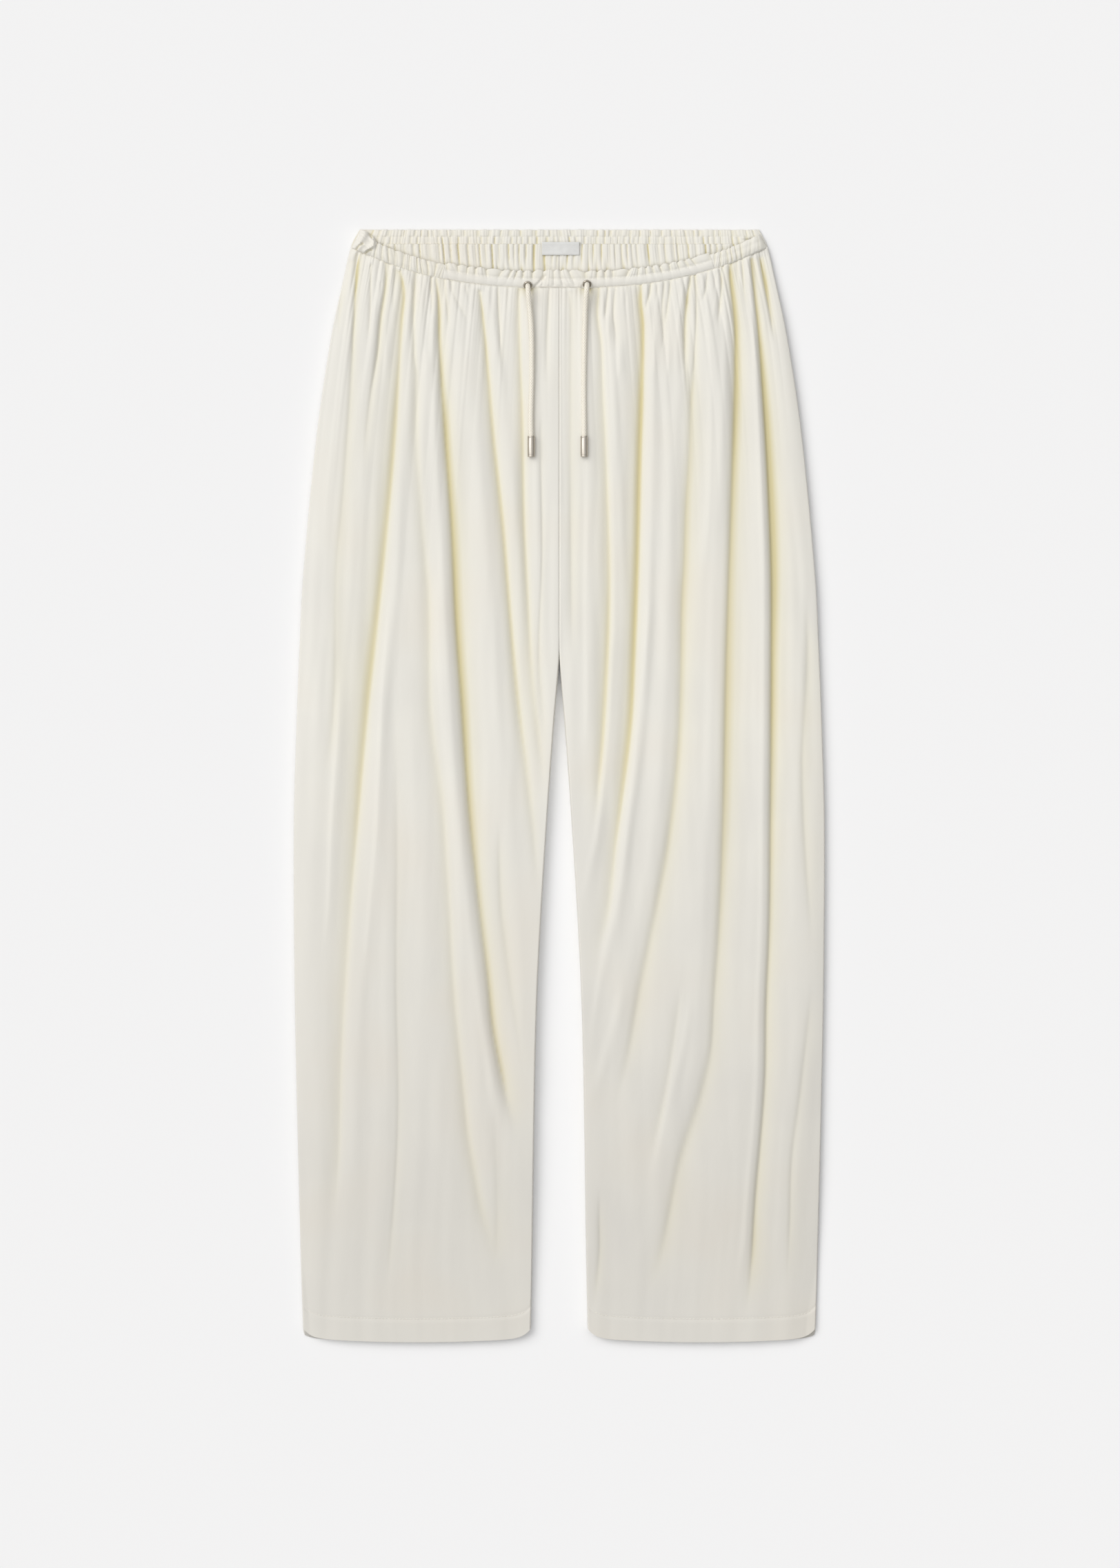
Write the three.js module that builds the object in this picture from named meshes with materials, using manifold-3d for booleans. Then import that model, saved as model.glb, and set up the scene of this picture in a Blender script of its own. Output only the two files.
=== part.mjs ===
// Elastic-waist trousers with a drawcord, laid flat with the front up.
// Millimetres, +Z up. The garment lies on the plane z = 0, +Y runs to the waist and +X is the
// wearer's left. The origin is on that plane, under the middle of the garment.
// "Down" is a distance below the waist edge, measured along -Y.

import * as THREE from 'three';
import { mergeVertices } from 'three/addons/utils/BufferGeometryUtils.js';
import Module from 'manifold-3d';

const wasm = await Module();
wasm.setup();
const { Manifold, Mesh: SolidMesh } = wasm;
const { clamp, lerp, smoothstep } = THREE.MathUtils;

// Driving dimensions
const garmentLength = 1048;    // waist edge to the lowest point of the hems
const waistY = garmentLength / 2;
const clothWall = 1.5;
const seamGap = 0.3;           // clear distance between sewn pieces
const crotchDown = 401;
const scoop = { down: 55.5, rise: 36, reach: 190, power: 2.6 };   // lower edge of the front band
const hem = { depth: 22, extra: 0.8, bow: 4, corner: 9, cornerPower: 16 };

// Heights above the surface
const backTop = clothWall;
const footZ = backTop + seamGap;          // the front cloth's side edges stand here
const lowestFront = footZ + clothWall;
const crown = { waist: 8.2, waistReach: 90, body: 10.5, hem: 6.5, hemReach: 190 };
const bandSeam = { dip: 2.3, reach: 4 };  // the cloth dips to the seam under the front band
const centreSeam = { dip: 1.5, width: 5, fade: 60 };
const pucker = { dip: 4, reach: 7 };      // the cloth is drawn in round an eyelet
const foldEnds = { atBand: 75, start: 60, end: 110 };
const edgeRoll = 7;                       // width of the turn from front to back at an edge
const crotchTurn = { before: 12, after: 26 };   // where the inseam edges begin to turn down

// Gathers: raised waves in the outer cloth that run down from a band and fade out
const frontGather = { pitch: 10, raise: 1.5, fade: 45, end: 80, softEnd: 25 };
const backGather = { pitch: 10, raise: 1.4, end: 60, softEnd: 25, clearFrom: 20, clearTo: 32 };
const uneven = { drift: 2.2, driftOver: 23, quiver: 1.1, quiverOver: 9, height: 0.2, heightOver: 17 };

// Bands
const band = { backTall: 15, rightEnd: -110, leftEnd: 146, end: 195.5 };
const bandPitch = { back: 7, side: 7, front: 10 };
const frill = { from: 12, sway: 0.8, lift: 0.9, underLift: 0.5 };
const sideLift = 0.45;         // how far a gather lifts the side and back bands
// The side bands climb onto the back band's end, settle beside it and turn down at the corner.
const corner = { climbFrom: 146, climbTo: 166, climb: 2.2, settleFrom: 181, settleTo: 190, turn: 8 };
const backPuff = { from: 162, to: 176 };         // the back band thins out under the side bands
// The rolled cloth at the wearer's right corner
const cornerTwist = { raise: 2.4, at: 184, slope: 0.6, middle: 7, width: 4 };
const noTwist = { ...cornerTwist, raise: 0 };

// Hardware
const eyelet = {
  outer: 4.2, inner: 2.8, barrel: 3.1, thick: 1.2, depth: 2.6, edge: 0.2, tilt: Math.PI / 6,
  seatReach: 8, pitHeight: 12,
};
const eyeletPlaces = {
  eyelet_right: { x: -29.6, y: 471.2, z: 7.8 },
  eyelet_left: { x: 26.1, y: 472.2, z: 8.2 },
};
const cordRadius = 2.4;
const cordEnd = {
  length: 19.5, radius: 3.4, rim: 1.6, rimInset: 0.5, cup: 5, cupRadius: 2.9, bevel: 0.25,
};
const labelSize = { left: -16.3, right: 18.9, thick: 1 };

// The label's underside, from its loose fold up to the stitching of the back band
const labelRise = [
  { y: 499.6, z: 3.3 },
  { y: 503, z: 3.2 },
  { y: 506.2, z: 3.3 },
  { y: 508.4, z: 4.6 },
  { y: 509.8, z: 5.7 },
  { y: 511.9, z: 5.9 },
];

// How finely the panels are divided; rows are distances down
const frontRows = { columns: 32, gathered: [0, 6, 24, 50], body: 18, lastAbove: 1.5 };
const backRows = {
  columns: 5, gatherColumns: 50, hemColumns: 14, gathered: [0, 10, 30],
  plain: [60, 130, 210, 290, 370, 430, 500, 600, 700, 800, 900, 980],
};

// How far the side edge and the inseam edge lie from the centre line
const outline = [
  { down: 0, side: 188, inseam: 0 },
  { down: 14, side: 195.5, inseam: 0 },
  { down: 45, side: 203, inseam: 0 },
  { down: 102, side: 215, inseam: 0 },
  { down: 193, side: 228.5, inseam: 0 },
  { down: 329, side: 241.5, inseam: 0 },
  { down: crotchDown, side: 245, inseam: 0 },
  { down: 466, side: 247.5, inseam: 5 },
  { down: 557, side: 250, inseam: 11.5 },
  { down: 693, side: 249.5, inseam: 19.5 },
  { down: 784, side: 248, inseam: 22.5 },
  { down: 966, side: 243.5, inseam: 25.3 },
  { down: 1048, side: 241, inseam: 27 },
];

// The main folds of the front. Each is a trough from one distance down to another, and its centre
// line passes four places in x, a third of the way apart. A negative pull is a ridge. With a
// positive skew the trough is steeper toward +X.
const foldsOnLeft = [
  { from: 64, to: 417, top: 10, upper: 11, lower: 12, foot: 13, width: 10, pull: 2.5, skew: 0 },
  { from: 50, to: 583, top: 42, upper: 44, lower: 45, foot: 23, width: 9, pull: 6, skew: 0.35 },
  { from: 45, to: 707, top: 77, upper: 75, lower: 65, foot: 28, width: 9, pull: 10, skew: 0.4 },
  { from: 720, to: 830, top: 58, upper: 50, lower: 39, foot: 25, width: 8, pull: -2, skew: 0 },
  { from: 45, to: 850, top: 120, upper: 118, lower: 102, foot: 47, width: 13, pull: 6, skew: 0.1 },
  { from: 729, to: 898, top: 112, upper: 105, lower: 94, foot: 77, width: 7, pull: 3, skew: 0.3 },
  { from: 35, to: 1019, top: 161, upper: 159, lower: 148, foot: 70, width: 12, pull: 9, skew: 0 },
  { from: 35, to: 1026, top: 181, upper: 200, lower: 196, foot: 174, width: 9, pull: 8, skew: 0.1 },
  { from: 70, to: 343, top: 137, upper: 142, lower: 142, foot: 137, width: 12, pull: -1.6, skew: 0 },
  { from: 365, to: 713, top: 233, upper: 230, lower: 233, foot: 241, width: 8, pull: 2, skew: 0 },
  { from: 726, to: 1012, top: 237, upper: 226, lower: 218, foot: 213, width: 8, pull: 3.5, skew: 0 },
  { from: 915, to: 1022, top: 38, upper: 38, lower: 36, foot: 31, width: 7, pull: 3, skew: 0 },
];
const foldsOnRight = [
  { from: 30, to: 542, top: -190, upper: -200, lower: -210, foot: -224, width: 10, pull: 5.5, skew: 0 },
  { from: 50, to: 256, top: -164, upper: -173, lower: -181, foot: -183, width: 8, pull: 4.5, skew: 0 },
  { from: 37, to: 955, top: -147, upper: -170, lower: -198, foot: -216, width: 12, pull: 9, skew: 0.4 },
  { from: 380, to: 729, top: -161, upper: -168, lower: -174, foot: -181, width: 10, pull: -1.6, skew: 0 },
  { from: 49, to: 726, top: -138, upper: -130, lower: -114, foot: -96, width: 9, pull: 5, skew: 0.2 },
  { from: 680, to: 992, top: -102, upper: -92, lower: -79, foot: -62, width: 9, pull: 8, skew: 0.2 },
  { from: 60, to: 842, top: -115, upper: -99, lower: -81, foot: -38, width: 9, pull: 10, skew: 0 },
  { from: 50, to: 654, top: -75, upper: -56, lower: -38, foot: -18, width: 6.5, pull: 8, skew: 0.1 },
  { from: 50, to: 554, top: -37, upper: -34, lower: -27, foot: -12, width: 7.5, pull: 7, skew: 0.2 },
  { from: 518, to: 1022, top: -153, upper: -153, lower: -152, foot: -164, width: 6.5, pull: 3.5, skew: 0 },
  { from: 575, to: 824, top: -57, upper: -52, lower: -42, foot: -29, width: 9, pull: 4, skew: 0 },
  { from: 850, to: 992, top: -59, upper: -58, lower: -58, foot: -62, width: 10, pull: 3, skew: 0 },
];

// Sections of the bands, from the lower edge toward the waist: the height of both faces, and how
// much a gather moves the upper face.
const frontSection = [
  { across: 0, top: 5.4, under: 4.2, wave: 0.2 },
  { across: 1.5, top: 8.0, under: 3.8, wave: 0.2 },
  { across: 4, top: 9.3, under: 3.6, wave: 0.2 },
  { across: 6.6, top: 8.2, under: 3.7, wave: 0.3 },
  { across: 8.2, top: 6.0, under: 3.9, wave: 0.5 },
  { across: 10.2, top: 7.8, under: 4.6, wave: 1 },
  { across: 13.4, top: 8.2, under: 5.4, wave: 1 },
  { across: 15.5, top: 6.8, under: 5.4, wave: 0.6 },
];
const sideSection = [
  { across: 0, top: 5.4, under: 4.2, wave: 0.4 },
  { across: 2, top: 8.4, under: 3.7, wave: 1 },
  { across: 5.5, top: 9.0, under: 3.6, wave: 1 },
  { across: 8, top: 7.6, under: 3.6, wave: 1 },
  { across: 11, top: 8.2, under: 3.9, wave: 1 },
  { across: 13.5, top: 6.4, under: 4.6, wave: 0.5 },
];
const backSection = [
  { across: 0, top: 2.4, wave: 0.3 },
  { across: 1.5, top: 4.4, wave: 1 },
  { across: 4.5, top: 5.0, wave: 1 },
  { across: 8, top: 3.2, wave: 0.5 },
  { across: 10.5, top: 4.2, wave: 1 },
  { across: 13.6, top: 3.7, wave: 1 },
  { across: 15, top: 2.2, wave: 0.5 },
];

// Routes of the cords' centre lines, from inside each eyelet to the metal end
const cordRoutes = {
  cord_right: [
    [-29.6, 472.2, 6.1], [-29.6, 471.2, 7.8], [-29.6, 470.1, 9.7], [-29.5, 468.6, 11.6],
    [-29.4, 466.2, 13.1], [-29.1, 462.6, 13.8], [-28.6, 458, 13.4], [-28.0, 451.5, 12.2],
    [-27.2, 443, 11.8], [-26.4, 432, 11.9], [-26.0, 422, 12.1], [-25.8, 411, 12.3],
    [-25.8, 400, 12.5], [-25.8, 389, 12.5], [-26.0, 377, 12.5], [-26.3, 365, 12.5],
    [-26.6, 354, 12.6], [-26.7, 344, 12.8], [-26.6, 334, 12.9], [-26.4, 323.9, 13.0],
  ],
  cord_left: [
    [26.1, 473.2, 6.5], [26.1, 472.2, 8.2], [26.1, 471.1, 10.1], [26.0, 469.6, 12.0],
    [25.8, 467.2, 13.4], [25.5, 463.6, 14.0], [25.1, 459, 13.5], [24.7, 452, 12.0],
    [24.3, 443, 11.1], [24.0, 432, 11.1], [23.8, 422, 11.3], [23.6, 411, 11.5],
    [23.4, 400, 11.7], [23.3, 389, 11.9], [23.2, 377, 12.0], [23.2, 365, 12.0],
    [23.3, 354, 12.2], [23.4, 344, 12.5], [23.4, 334, 12.8], [23.3, 323.9, 13.0],
  ],
};

const colours = {
  cloth: { color: 0xe9e6dc, roughness: 0.85, metalness: 0 },
  label: { color: 0xdededa, roughness: 0.8, metalness: 0 },
  cord: { color: 0xebe7da, roughness: 0.9, metalness: 0 },
  metal: { color: 0xc9c9c7, roughness: 0.35, metalness: 1 },
};

// Value of a column of a table at a distance down, on a smooth curve through its rows.
function readColumn(rows, column, down) {
  const last = rows.length - 2;
  const next = rows.findIndex((row) => row.down >= down);
  const i = clamp((next < 0 ? rows.length : next) - 1, 0, last);
  const slope = (k) => {
    const before = rows[Math.max(k - 1, 0)];
    const after = rows[Math.min(k + 1, rows.length - 1)];
    return (after[column] - before[column]) / (after.down - before.down);
  };
  const gap = rows[i + 1].down - rows[i].down;
  const t = clamp((down - rows[i].down) / gap, 0, 1);
  return (1 + 2 * t) * (1 - t) ** 2 * rows[i][column] + t * (1 - t) ** 2 * gap * slope(i)
    + t * t * (3 - 2 * t) * rows[i + 1][column] + t * t * (t - 1) * gap * slope(i + 1);
}

const sideAt = (down) => readColumn(outline, 'side', down);
const inseamAt = (down) => Math.max(readColumn(outline, 'inseam', down), seamGap / 2);
const scoopDown = (x) => scoop.down - scoop.rise * (Math.abs(x) / scoop.reach) ** scoop.power;

// The centre of a fold: a cubic through four places a third of the way apart.
function foldCentre({ top, upper, lower, foot }, t) {
  const a = t - 1 / 3;
  const b = t - 2 / 3;
  const c = t - 1;
  return -4.5 * a * b * c * top + 13.5 * t * b * c * upper
    - 13.5 * t * a * c * lower + 4.5 * t * a * b * foot;
}

// Height of the outer front cloth. Pulls add up, and the cloth sinks toward the back panel by an
// exponential law, so it never reaches it.
function frontHeight(x, down, folds) {
  const below = down - scoopDown(x);
  let sink = 0;
  let top = lerp(crown.waist, crown.body, smoothstep(below, 0, crown.waistReach));
  top = lerp(top, crown.hem, smoothstep(down, garmentLength - crown.hemReach, garmentLength));
  for (const fold of folds) {
    const t = (down - fold.from) / (fold.to - fold.from);
    if (t < 0 || t > 1) continue;
    const off = x - foldCentre(fold, t);
    const near = Math.exp(-((off / (fold.width * (1 - Math.sign(off) * fold.skew))) ** 2));
    const atBand = fold.from < foldEnds.atBand;
    const start = atBand ? 1 : smoothstep(down, fold.from, fold.from + foldEnds.start);
    const pull = fold.pull * near * start * smoothstep(fold.to - down, 0, foldEnds.end);
    if (pull > 0) sink += pull;
    else top -= pull;
  }
  sink += centreSeam.dip * Math.exp(-((x / centreSeam.width) ** 2))
    * smoothstep(crotchDown - down, 0, centreSeam.fade);
  sink += bandSeam.dip * Math.exp(-below / bandSeam.reach) + pucker.dip * eyeletPull(x, below);
  return lowestFront + (top - lowestFront) * Math.exp(-sink / (top - lowestFront));
}

// How much the cloth is drawn in round an eyelet: a bump of the distance from its centre.
function eyeletPull(x, below) {
  const near = Object.values(eyeletPlaces).map((place) => Math.abs(x - place.x));
  return Math.exp(-((Math.min(...near) / pucker.reach) ** 2) - (below / pucker.reach) ** 2);
}

// A gather is a raised cosine wave. Slow sines along the seam make its pitch and height uneven.
function gatherWave(x, pitch) {
  const drift = uneven.drift * Math.sin(x / uneven.driftOver)
    + uneven.quiver * Math.sin(x / uneven.quiverOver);
  const height = 1 - uneven.height * (1 - Math.sin(x / uneven.heightOver));
  return height * (0.5 + 0.5 * Math.cos((2 * Math.PI * (x + drift)) / pitch));
}

// Joins two rows of points with triangles. Rows of equal length are joined point for point, each
// square by its shorter diagonal; others keep pace with each other along their lengths.
function joinRows(points, faces, rowA, rowB) {
  const matched = rowA.length === rowB.length;
  const span = (a, b) => points[a].distanceTo(points[b]);
  const paceA = pace(points, rowA);
  const paceB = pace(points, rowB);
  let i = 0;
  let j = 0;
  while (i < rowA.length - 1 || j < rowB.length - 1) {
    const ahead = matched
      ? j > i || (i === j && span(rowA[i + 1], rowB[j]) <= span(rowA[i], rowB[j + 1]))
      : paceA[i] + (paceA[i + 1] ?? Infinity) <= paceB[j] + (paceB[j + 1] ?? Infinity);
    if (ahead) {
      faces.push([rowA[i], rowB[j], rowA[i + 1]]);
      i += 1;
    } else {
      faces.push([rowA[i], rowB[j], rowB[j + 1]]);
      j += 1;
    }
  }
}

// How far along a row each of its points lies, from 0 to 1.
function pace(points, row) {
  const steps = row.map((k, n) => (n ? points[k].distanceTo(points[row[n - 1]]) : 0));
  const total = steps.reduce((sum, step) => sum + step, 0);
  let reached = 0;
  return steps.map((step) => {
    reached += step;
    return reached / total;
  });
}

// A closed wall between an outer and an inner face. Both faces have the same number of rows, and
// their rows may hold different numbers of points.
function wallGeometry(outer, inner) {
  const points = [];
  const faces = [];
  const number = (rows) => rows.map((row) => row.map((point) => points.push(point) - 1));
  const front = number(outer);
  const back = number(inner);
  for (let r = 0; r < front.length - 1; r += 1) {
    joinRows(points, faces, front[r], front[r + 1]);
    joinRows(points, faces, back[r + 1], back[r]);
    joinRows(points, faces, [front[r + 1].at(-1), front[r].at(-1)], [back[r + 1].at(-1), back[r].at(-1)]);
    joinRows(points, faces, [front[r][0], front[r + 1][0]], [back[r][0], back[r + 1][0]]);
  }
  joinRows(points, faces, back[0], front[0]);
  joinRows(points, faces, front.at(-1), back.at(-1));
  return closedGeometry(points, faces);
}

// Turns the faces outward, which makes the enclosed volume positive.
function closedGeometry(points, faces) {
  const volume = faces.reduce((sum, [a, b, c]) => (
    sum + points[a].dot(new THREE.Vector3().crossVectors(points[b], points[c]))), 0);
  const order = volume > 0 ? faces : faces.map(([a, b, c]) => [a, c, b]);
  const geometry = new THREE.BufferGeometry().setFromPoints(points);
  geometry.setIndex(order.flat());
  geometry.computeVertexNormals();
  return geometry;
}

// Columns of a leg panel: a turn at the inseam edge, an even spread over the body, and a turn at
// the side edge. The turn is an angle from flat to upright.
function legColumns(count) {
  const turns = [0, 1, 2].map((k) => ((3 - k) * Math.PI) / 6);
  const columns = turns.map((turn) => ({ edge: 'inseam', turn, across: 0 }));
  for (let k = 0; k <= count; k += 1) columns.push({ edge: 'none', turn: 0, across: k / count });
  turns.reverse().forEach((turn) => columns.push({ edge: 'side', turn, across: 1 }));
  return columns;
}

// Distance from the centre line of a point in a column; depth moves it in from the outer face.
function columnX({ edge, turn, across }, down, depth = 0) {
  const low = inseamAt(down);
  const high = sideAt(down);
  const roll = edgeRoll - depth * rollStrength(edge, down);
  if (edge === 'inseam') return low + edgeRoll - roll * Math.sin(turn);
  if (edge === 'side') return high - edgeRoll + roll * Math.sin(turn);
  return lerp(low + edgeRoll, high - edgeRoll, across);
}

// The inseam edge turns down only below the crotch; above it the two fronts meet in the middle.
const rollStrength = (edge, down) => (
  edge === 'inseam' ? smoothstep(down, crotchDown - crotchTurn.before, crotchDown + crotchTurn.after) : 1);

// Rise of the hem's lower edge: a shallow bow with rounded corners, over places from -1 to 1.
function hemDown(column) {
  const down = garmentLength - hem.depth;
  const low = inseamAt(down);
  const place = (2 * (columnX(column, down) - low)) / (sideAt(down) - low) - 1;
  return garmentLength - hem.bow * place ** 2 - hem.corner * Math.abs(place) ** hem.cornerPower;
}

// A front leg panel. Its top rows have extra columns for the gathers; its side edge and, below
// the crotch, its inseam edge turn down to the back panel.
function frontLeg(side, folds) {
  const coarse = legColumns(frontRows.columns);
  const fine = legColumns(frontRows.columns * 2);
  const topDown = (column) => scoopDown(columnX(column, scoopDown(columnX(column, scoop.down))));
  const hemLine = (column) => hemDown(column) - hem.depth;
  const rows = frontRows.gathered.map((below) => (
    { fine: true, extra: 0, down: (column) => topDown(column) + below }));
  for (let k = 0; k <= frontRows.body; k += 1) {
    const last = (column) => hemLine(column) - frontRows.lastAbove;
    const down = (column) => lerp(topDown(column) + frontGather.end, last(column), k / frontRows.body);
    rows.push({ fine: false, extra: 0, down });
  }
  [0, hem.depth / 2, hem.depth].forEach((past) => {
    rows.push({ fine: false, extra: hem.extra, down: (column) => hemLine(column) + past });
  });

  const point = (column, down, depth, extra) => {
    const x = columnX(column, down, depth);
    const below = down - topDown(column);
    const gather = frontGather.raise * gatherWave(x * side, frontGather.pitch)
      * Math.exp(-below / frontGather.fade) * smoothstep(frontGather.end - below, 0, frontGather.softEnd)
      * (1 - eyeletPull(x * side, below));
    const top = frontHeight(columnX(column, down) * side, down, folds)
      + (depth === 0 ? gather + extra : -depth);
    const roll = rollStrength(column.edge, down);
    const fall = lerp(1, Math.cos(column.turn), roll);
    return new THREE.Vector3(side * x, waistY - down, footZ + (top - footZ) * fall);
  };
  const outer = rows.map((row) => (row.fine ? fine : coarse).map((column) => (
    point(column, row.down(column), 0, row.extra))));
  const inner = rows.map((row) => coarse.map((column) => (
    point(column, row.down(column), clothWall, 0))));
  return wallGeometry(outer, inner);
}

// A back leg panel: flat underneath, and gathered on top below the back band.
function backLeg(side) {
  const plain = legColumns(backRows.columns);
  const gathered = legColumns(backRows.gatherColumns);
  const topDown = band.backTall + seamGap;
  const rows = backRows.gathered.map((below) => ({ columns: gathered, down: () => topDown + below }));
  backRows.plain.forEach((down) => rows.push({ columns: plain, down: () => down }));
  rows.push({ columns: legColumns(backRows.hemColumns), down: hemDown });

  const point = (column, down, z) => {
    const x = side * columnX(column, down);
    return new THREE.Vector3(x, waistY - down, z(x, down));
  };
  const topHeight = (x, down) => {
    const inset = sideAt(down) - Math.abs(x);
    const clear = smoothstep(inset, backGather.clearFrom, backGather.clearTo)
      * smoothstep(Math.abs(x), 0, 10 * seamGap);
    const fade = smoothstep(backGather.end - down, 0, backGather.softEnd);
    return backTop + backGather.raise * gatherWave(x, backGather.pitch) * clear * fade;
  };
  const outer = rows.map((row) => row.columns.map((column) => (
    point(column, row.down(column), topHeight))));
  const inner = rows.map((row) => (row.columns === gathered ? plain : row.columns).map((column) => (
    point(column, row.down(column), () => 0))));
  return wallGeometry(outer, inner);
}

// A place on the front band: a distance from the centre line and a distance across the band,
// measured square to its lower edge.
function bandPlace(x, across) {
  const step = 0.5;
  const along = new THREE.Vector2(2 * step, scoopDown(x - step) - scoopDown(x + step)).normalize();
  const edgeY = waistY - scoopDown(x) + seamGap;
  return new THREE.Vector2(x - along.y * across, edgeY + along.x * across);
}

// Height of the tilted seats that the eyelets lie on; away from them it rises out of the way.
function seatHeight(x, y) {
  const heights = Object.values(eyeletPlaces).map((place) => (
    place.z + (y - place.y) * Math.tan(eyelet.tilt) + Math.max(Math.abs(x - place.x) - eyelet.seatReach, 0)));
  return Math.min(...heights);
}

// The front waistband: a drawcord tunnel with a frill above it.
function frontBand() {
  const from = band.rightEnd + seamGap / 2;
  const to = band.leftEnd - seamGap / 2;
  const count = Math.round((to - from) / bandPitch.front) * 2;
  const outer = [];
  const inner = [];
  for (let k = 0; k <= count; k += 1) {
    const x = lerp(from, to, k / count);
    const wave = (k % 2 ? -1 : 1) * (0.8 + 0.2 * Math.sin(k * 1.7));
    const swayed = (across) => bandPlace(x, across + (across > frill.from ? frill.sway * wave : 0));
    outer.push(frontSection.map(({ across, top, wave: share }) => {
      const place = swayed(across);
      const height = Math.min(top + frill.lift * share * wave, seatHeight(place.x, place.y));
      return new THREE.Vector3(place.x, place.y, height);
    }));
    inner.push([0, 2, 4, 7].map((row) => {
      const { across, under, wave: share } = frontSection[row];
      const place = swayed(across);
      return new THREE.Vector3(place.x, place.y, under + frill.underLift * share * wave);
    }));
  }
  return pitted(wallGeometry(outer, inner), Object.values(eyeletPlaces));
}

// Cuts a round pit under each eyelet, where its barrel and the cord go into the tunnel.
function pitted(geometry, places) {
  let solid = toSolid(geometry);
  for (const { x, y, z } of places) {
    const radius = eyelet.barrel + seamGap;
    const pit = new THREE.CylinderGeometry(radius, radius, eyelet.pitHeight, 16);
    pit.translate(0, eyelet.pitHeight / 2 - eyelet.depth - seamGap, 0);
    pit.rotateX(Math.PI / 2 + eyelet.tilt);
    pit.translate(x, y, z);
    solid = solid.subtract(toSolid(pit));
  }
  return toGeometry(solid);
}

function toSolid(geometry) {
  const bare = geometry.clone();
  bare.deleteAttribute('normal');
  bare.deleteAttribute('uv');
  const merged = mergeVertices(bare);
  const vertProperties = new Float32Array(merged.attributes.position.array);
  const triVerts = new Uint32Array(merged.index.array);
  return new Manifold(new SolidMesh({ numProp: 3, vertProperties, triVerts }));
}

function toGeometry(solid) {
  const { vertProperties, triVerts } = solid.getMesh();
  const geometry = new THREE.BufferGeometry();
  geometry.setAttribute('position', new THREE.BufferAttribute(vertProperties, 3));
  geometry.setIndex(new THREE.BufferAttribute(triVerts, 1));
  geometry.computeVertexNormals();
  return geometry;
}

// A side waistband, from the end of the drawcord tunnel to the corner, where it turns over the end
// of the back band and down to the back panel. A twist is a roll of cloth across the corner.
function sideBand(side, start, twist) {
  const turnStart = band.end - corner.turn;
  const flat = Math.round((turnStart - start) / bandPitch.side) * 2;
  const stations = [];
  for (let k = 0; k <= flat; k += 1) {
    stations.push({ x: lerp(start, turnStart, k / flat), turn: 0, wave: k % 2 ? -1 : 1 });
  }
  [1, 2, 3].forEach((k) => {
    const turn = (k * Math.PI) / 6;
    stations.push({ x: turnStart + corner.turn * Math.sin(turn), turn, wave: 0 });
  });
  const lift = (x) => corner.climb * smoothstep(x, corner.climbFrom, corner.climbTo);
  const settle = (x) => smoothstep(x, corner.settleFrom, corner.settleTo);
  const outer = stations.map(({ x, turn, wave }) => sideSection.map((row) => {
    const place = bandPlace(x, row.across);
    const off = x - twist.at + (row.across - twist.middle) * twist.slope;
    const ridge = twist.raise * Math.exp(-((off / twist.width) ** 2));
    const top = row.top + lift(x) + sideLift * row.wave * wave + ridge * row.wave;
    const z = Math.max(footZ + (top - footZ) * Math.cos(turn), footZ + clothWall);
    return new THREE.Vector3(side * place.x, place.y, z);
  }));
  const inner = stations.map(({ x }) => [0, 2, 5].map((row) => {
    const place = bandPlace(x, sideSection[row].across);
    const under = lerp(sideSection[row].under + lift(x), footZ, settle(x));
    return new THREE.Vector3(side * place.x, place.y, under);
  }));
  return wallGeometry(outer, inner);
}

// The back waistband: an elastic channel with a ruffle above it, flat underneath. Its ends thin out
// under the side bands.
function backBand() {
  const halfWidth = sideAt(0);
  const count = 2 * Math.round((2 * halfWidth) / bandPitch.back);
  const outer = [];
  const inner = [];
  for (let k = 0; k <= count; k += 1) {
    const along = (2 * k) / count - 1;
    const wave = k % 2 ? -1 : 1;
    const place = (across) => along * sideAt(band.backTall - across);
    const puff = 1 - smoothstep(Math.abs(along) * halfWidth, backPuff.from, backPuff.to);
    outer.push(backSection.map((row) => {
      const top = Math.max(row.top + sideLift * row.wave * wave, backTop);
      const z = lerp(backTop, top, puff);
      return new THREE.Vector3(place(row.across), waistY - band.backTall + row.across, z);
    }));
    inner.push([0, band.backTall].map((across) => (
      new THREE.Vector3(place(across), waistY - band.backTall + across, 0))));
  }
  return wallGeometry(outer, inner);
}

// The label: a folded strip caught in the stitching of the back band, lying on the back panel.
function label() {
  const face = (raise) => labelRise.map(({ y, z }) => [labelSize.left, labelSize.right].map((x) => (
    new THREE.Vector3(x, y, z + raise))));
  return wallGeometry(face(labelSize.thick), face(0));
}

// An eyelet: a rolled flange over the tunnel and a barrel into it.
function eyeletRing({ x, y, z }) {
  const { outer, inner, barrel, thick, depth, edge, tilt } = eyelet;
  const profile = [
    [inner, -depth], [barrel, -depth], [barrel, seamGap], [outer - edge, seamGap],
    [outer, seamGap + 2 * edge], [outer - edge, thick], [(outer + inner) / 2, seamGap + thick],
    [inner + edge, thick], [inner, seamGap + edge], [inner, -depth],
  ].map(([radius, height]) => new THREE.Vector2(radius, height));
  const geometry = new THREE.LatheGeometry(profile, 16);
  geometry.rotateX(Math.PI / 2 + tilt);
  geometry.translate(x, y, z);
  return geometry;
}

// A free cord: a round tube along its route.
function cordTube(route) {
  const path = new THREE.CatmullRomCurve3(route.map((place) => new THREE.Vector3(...place)));
  const section = new THREE.Shape().absarc(0, 0, cordRadius, 0, 2 * Math.PI);
  return new THREE.ExtrudeGeometry(section, {
    curveSegments: 4, steps: 26, bevelEnabled: false, extrudePath: path,
  });
}

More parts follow.
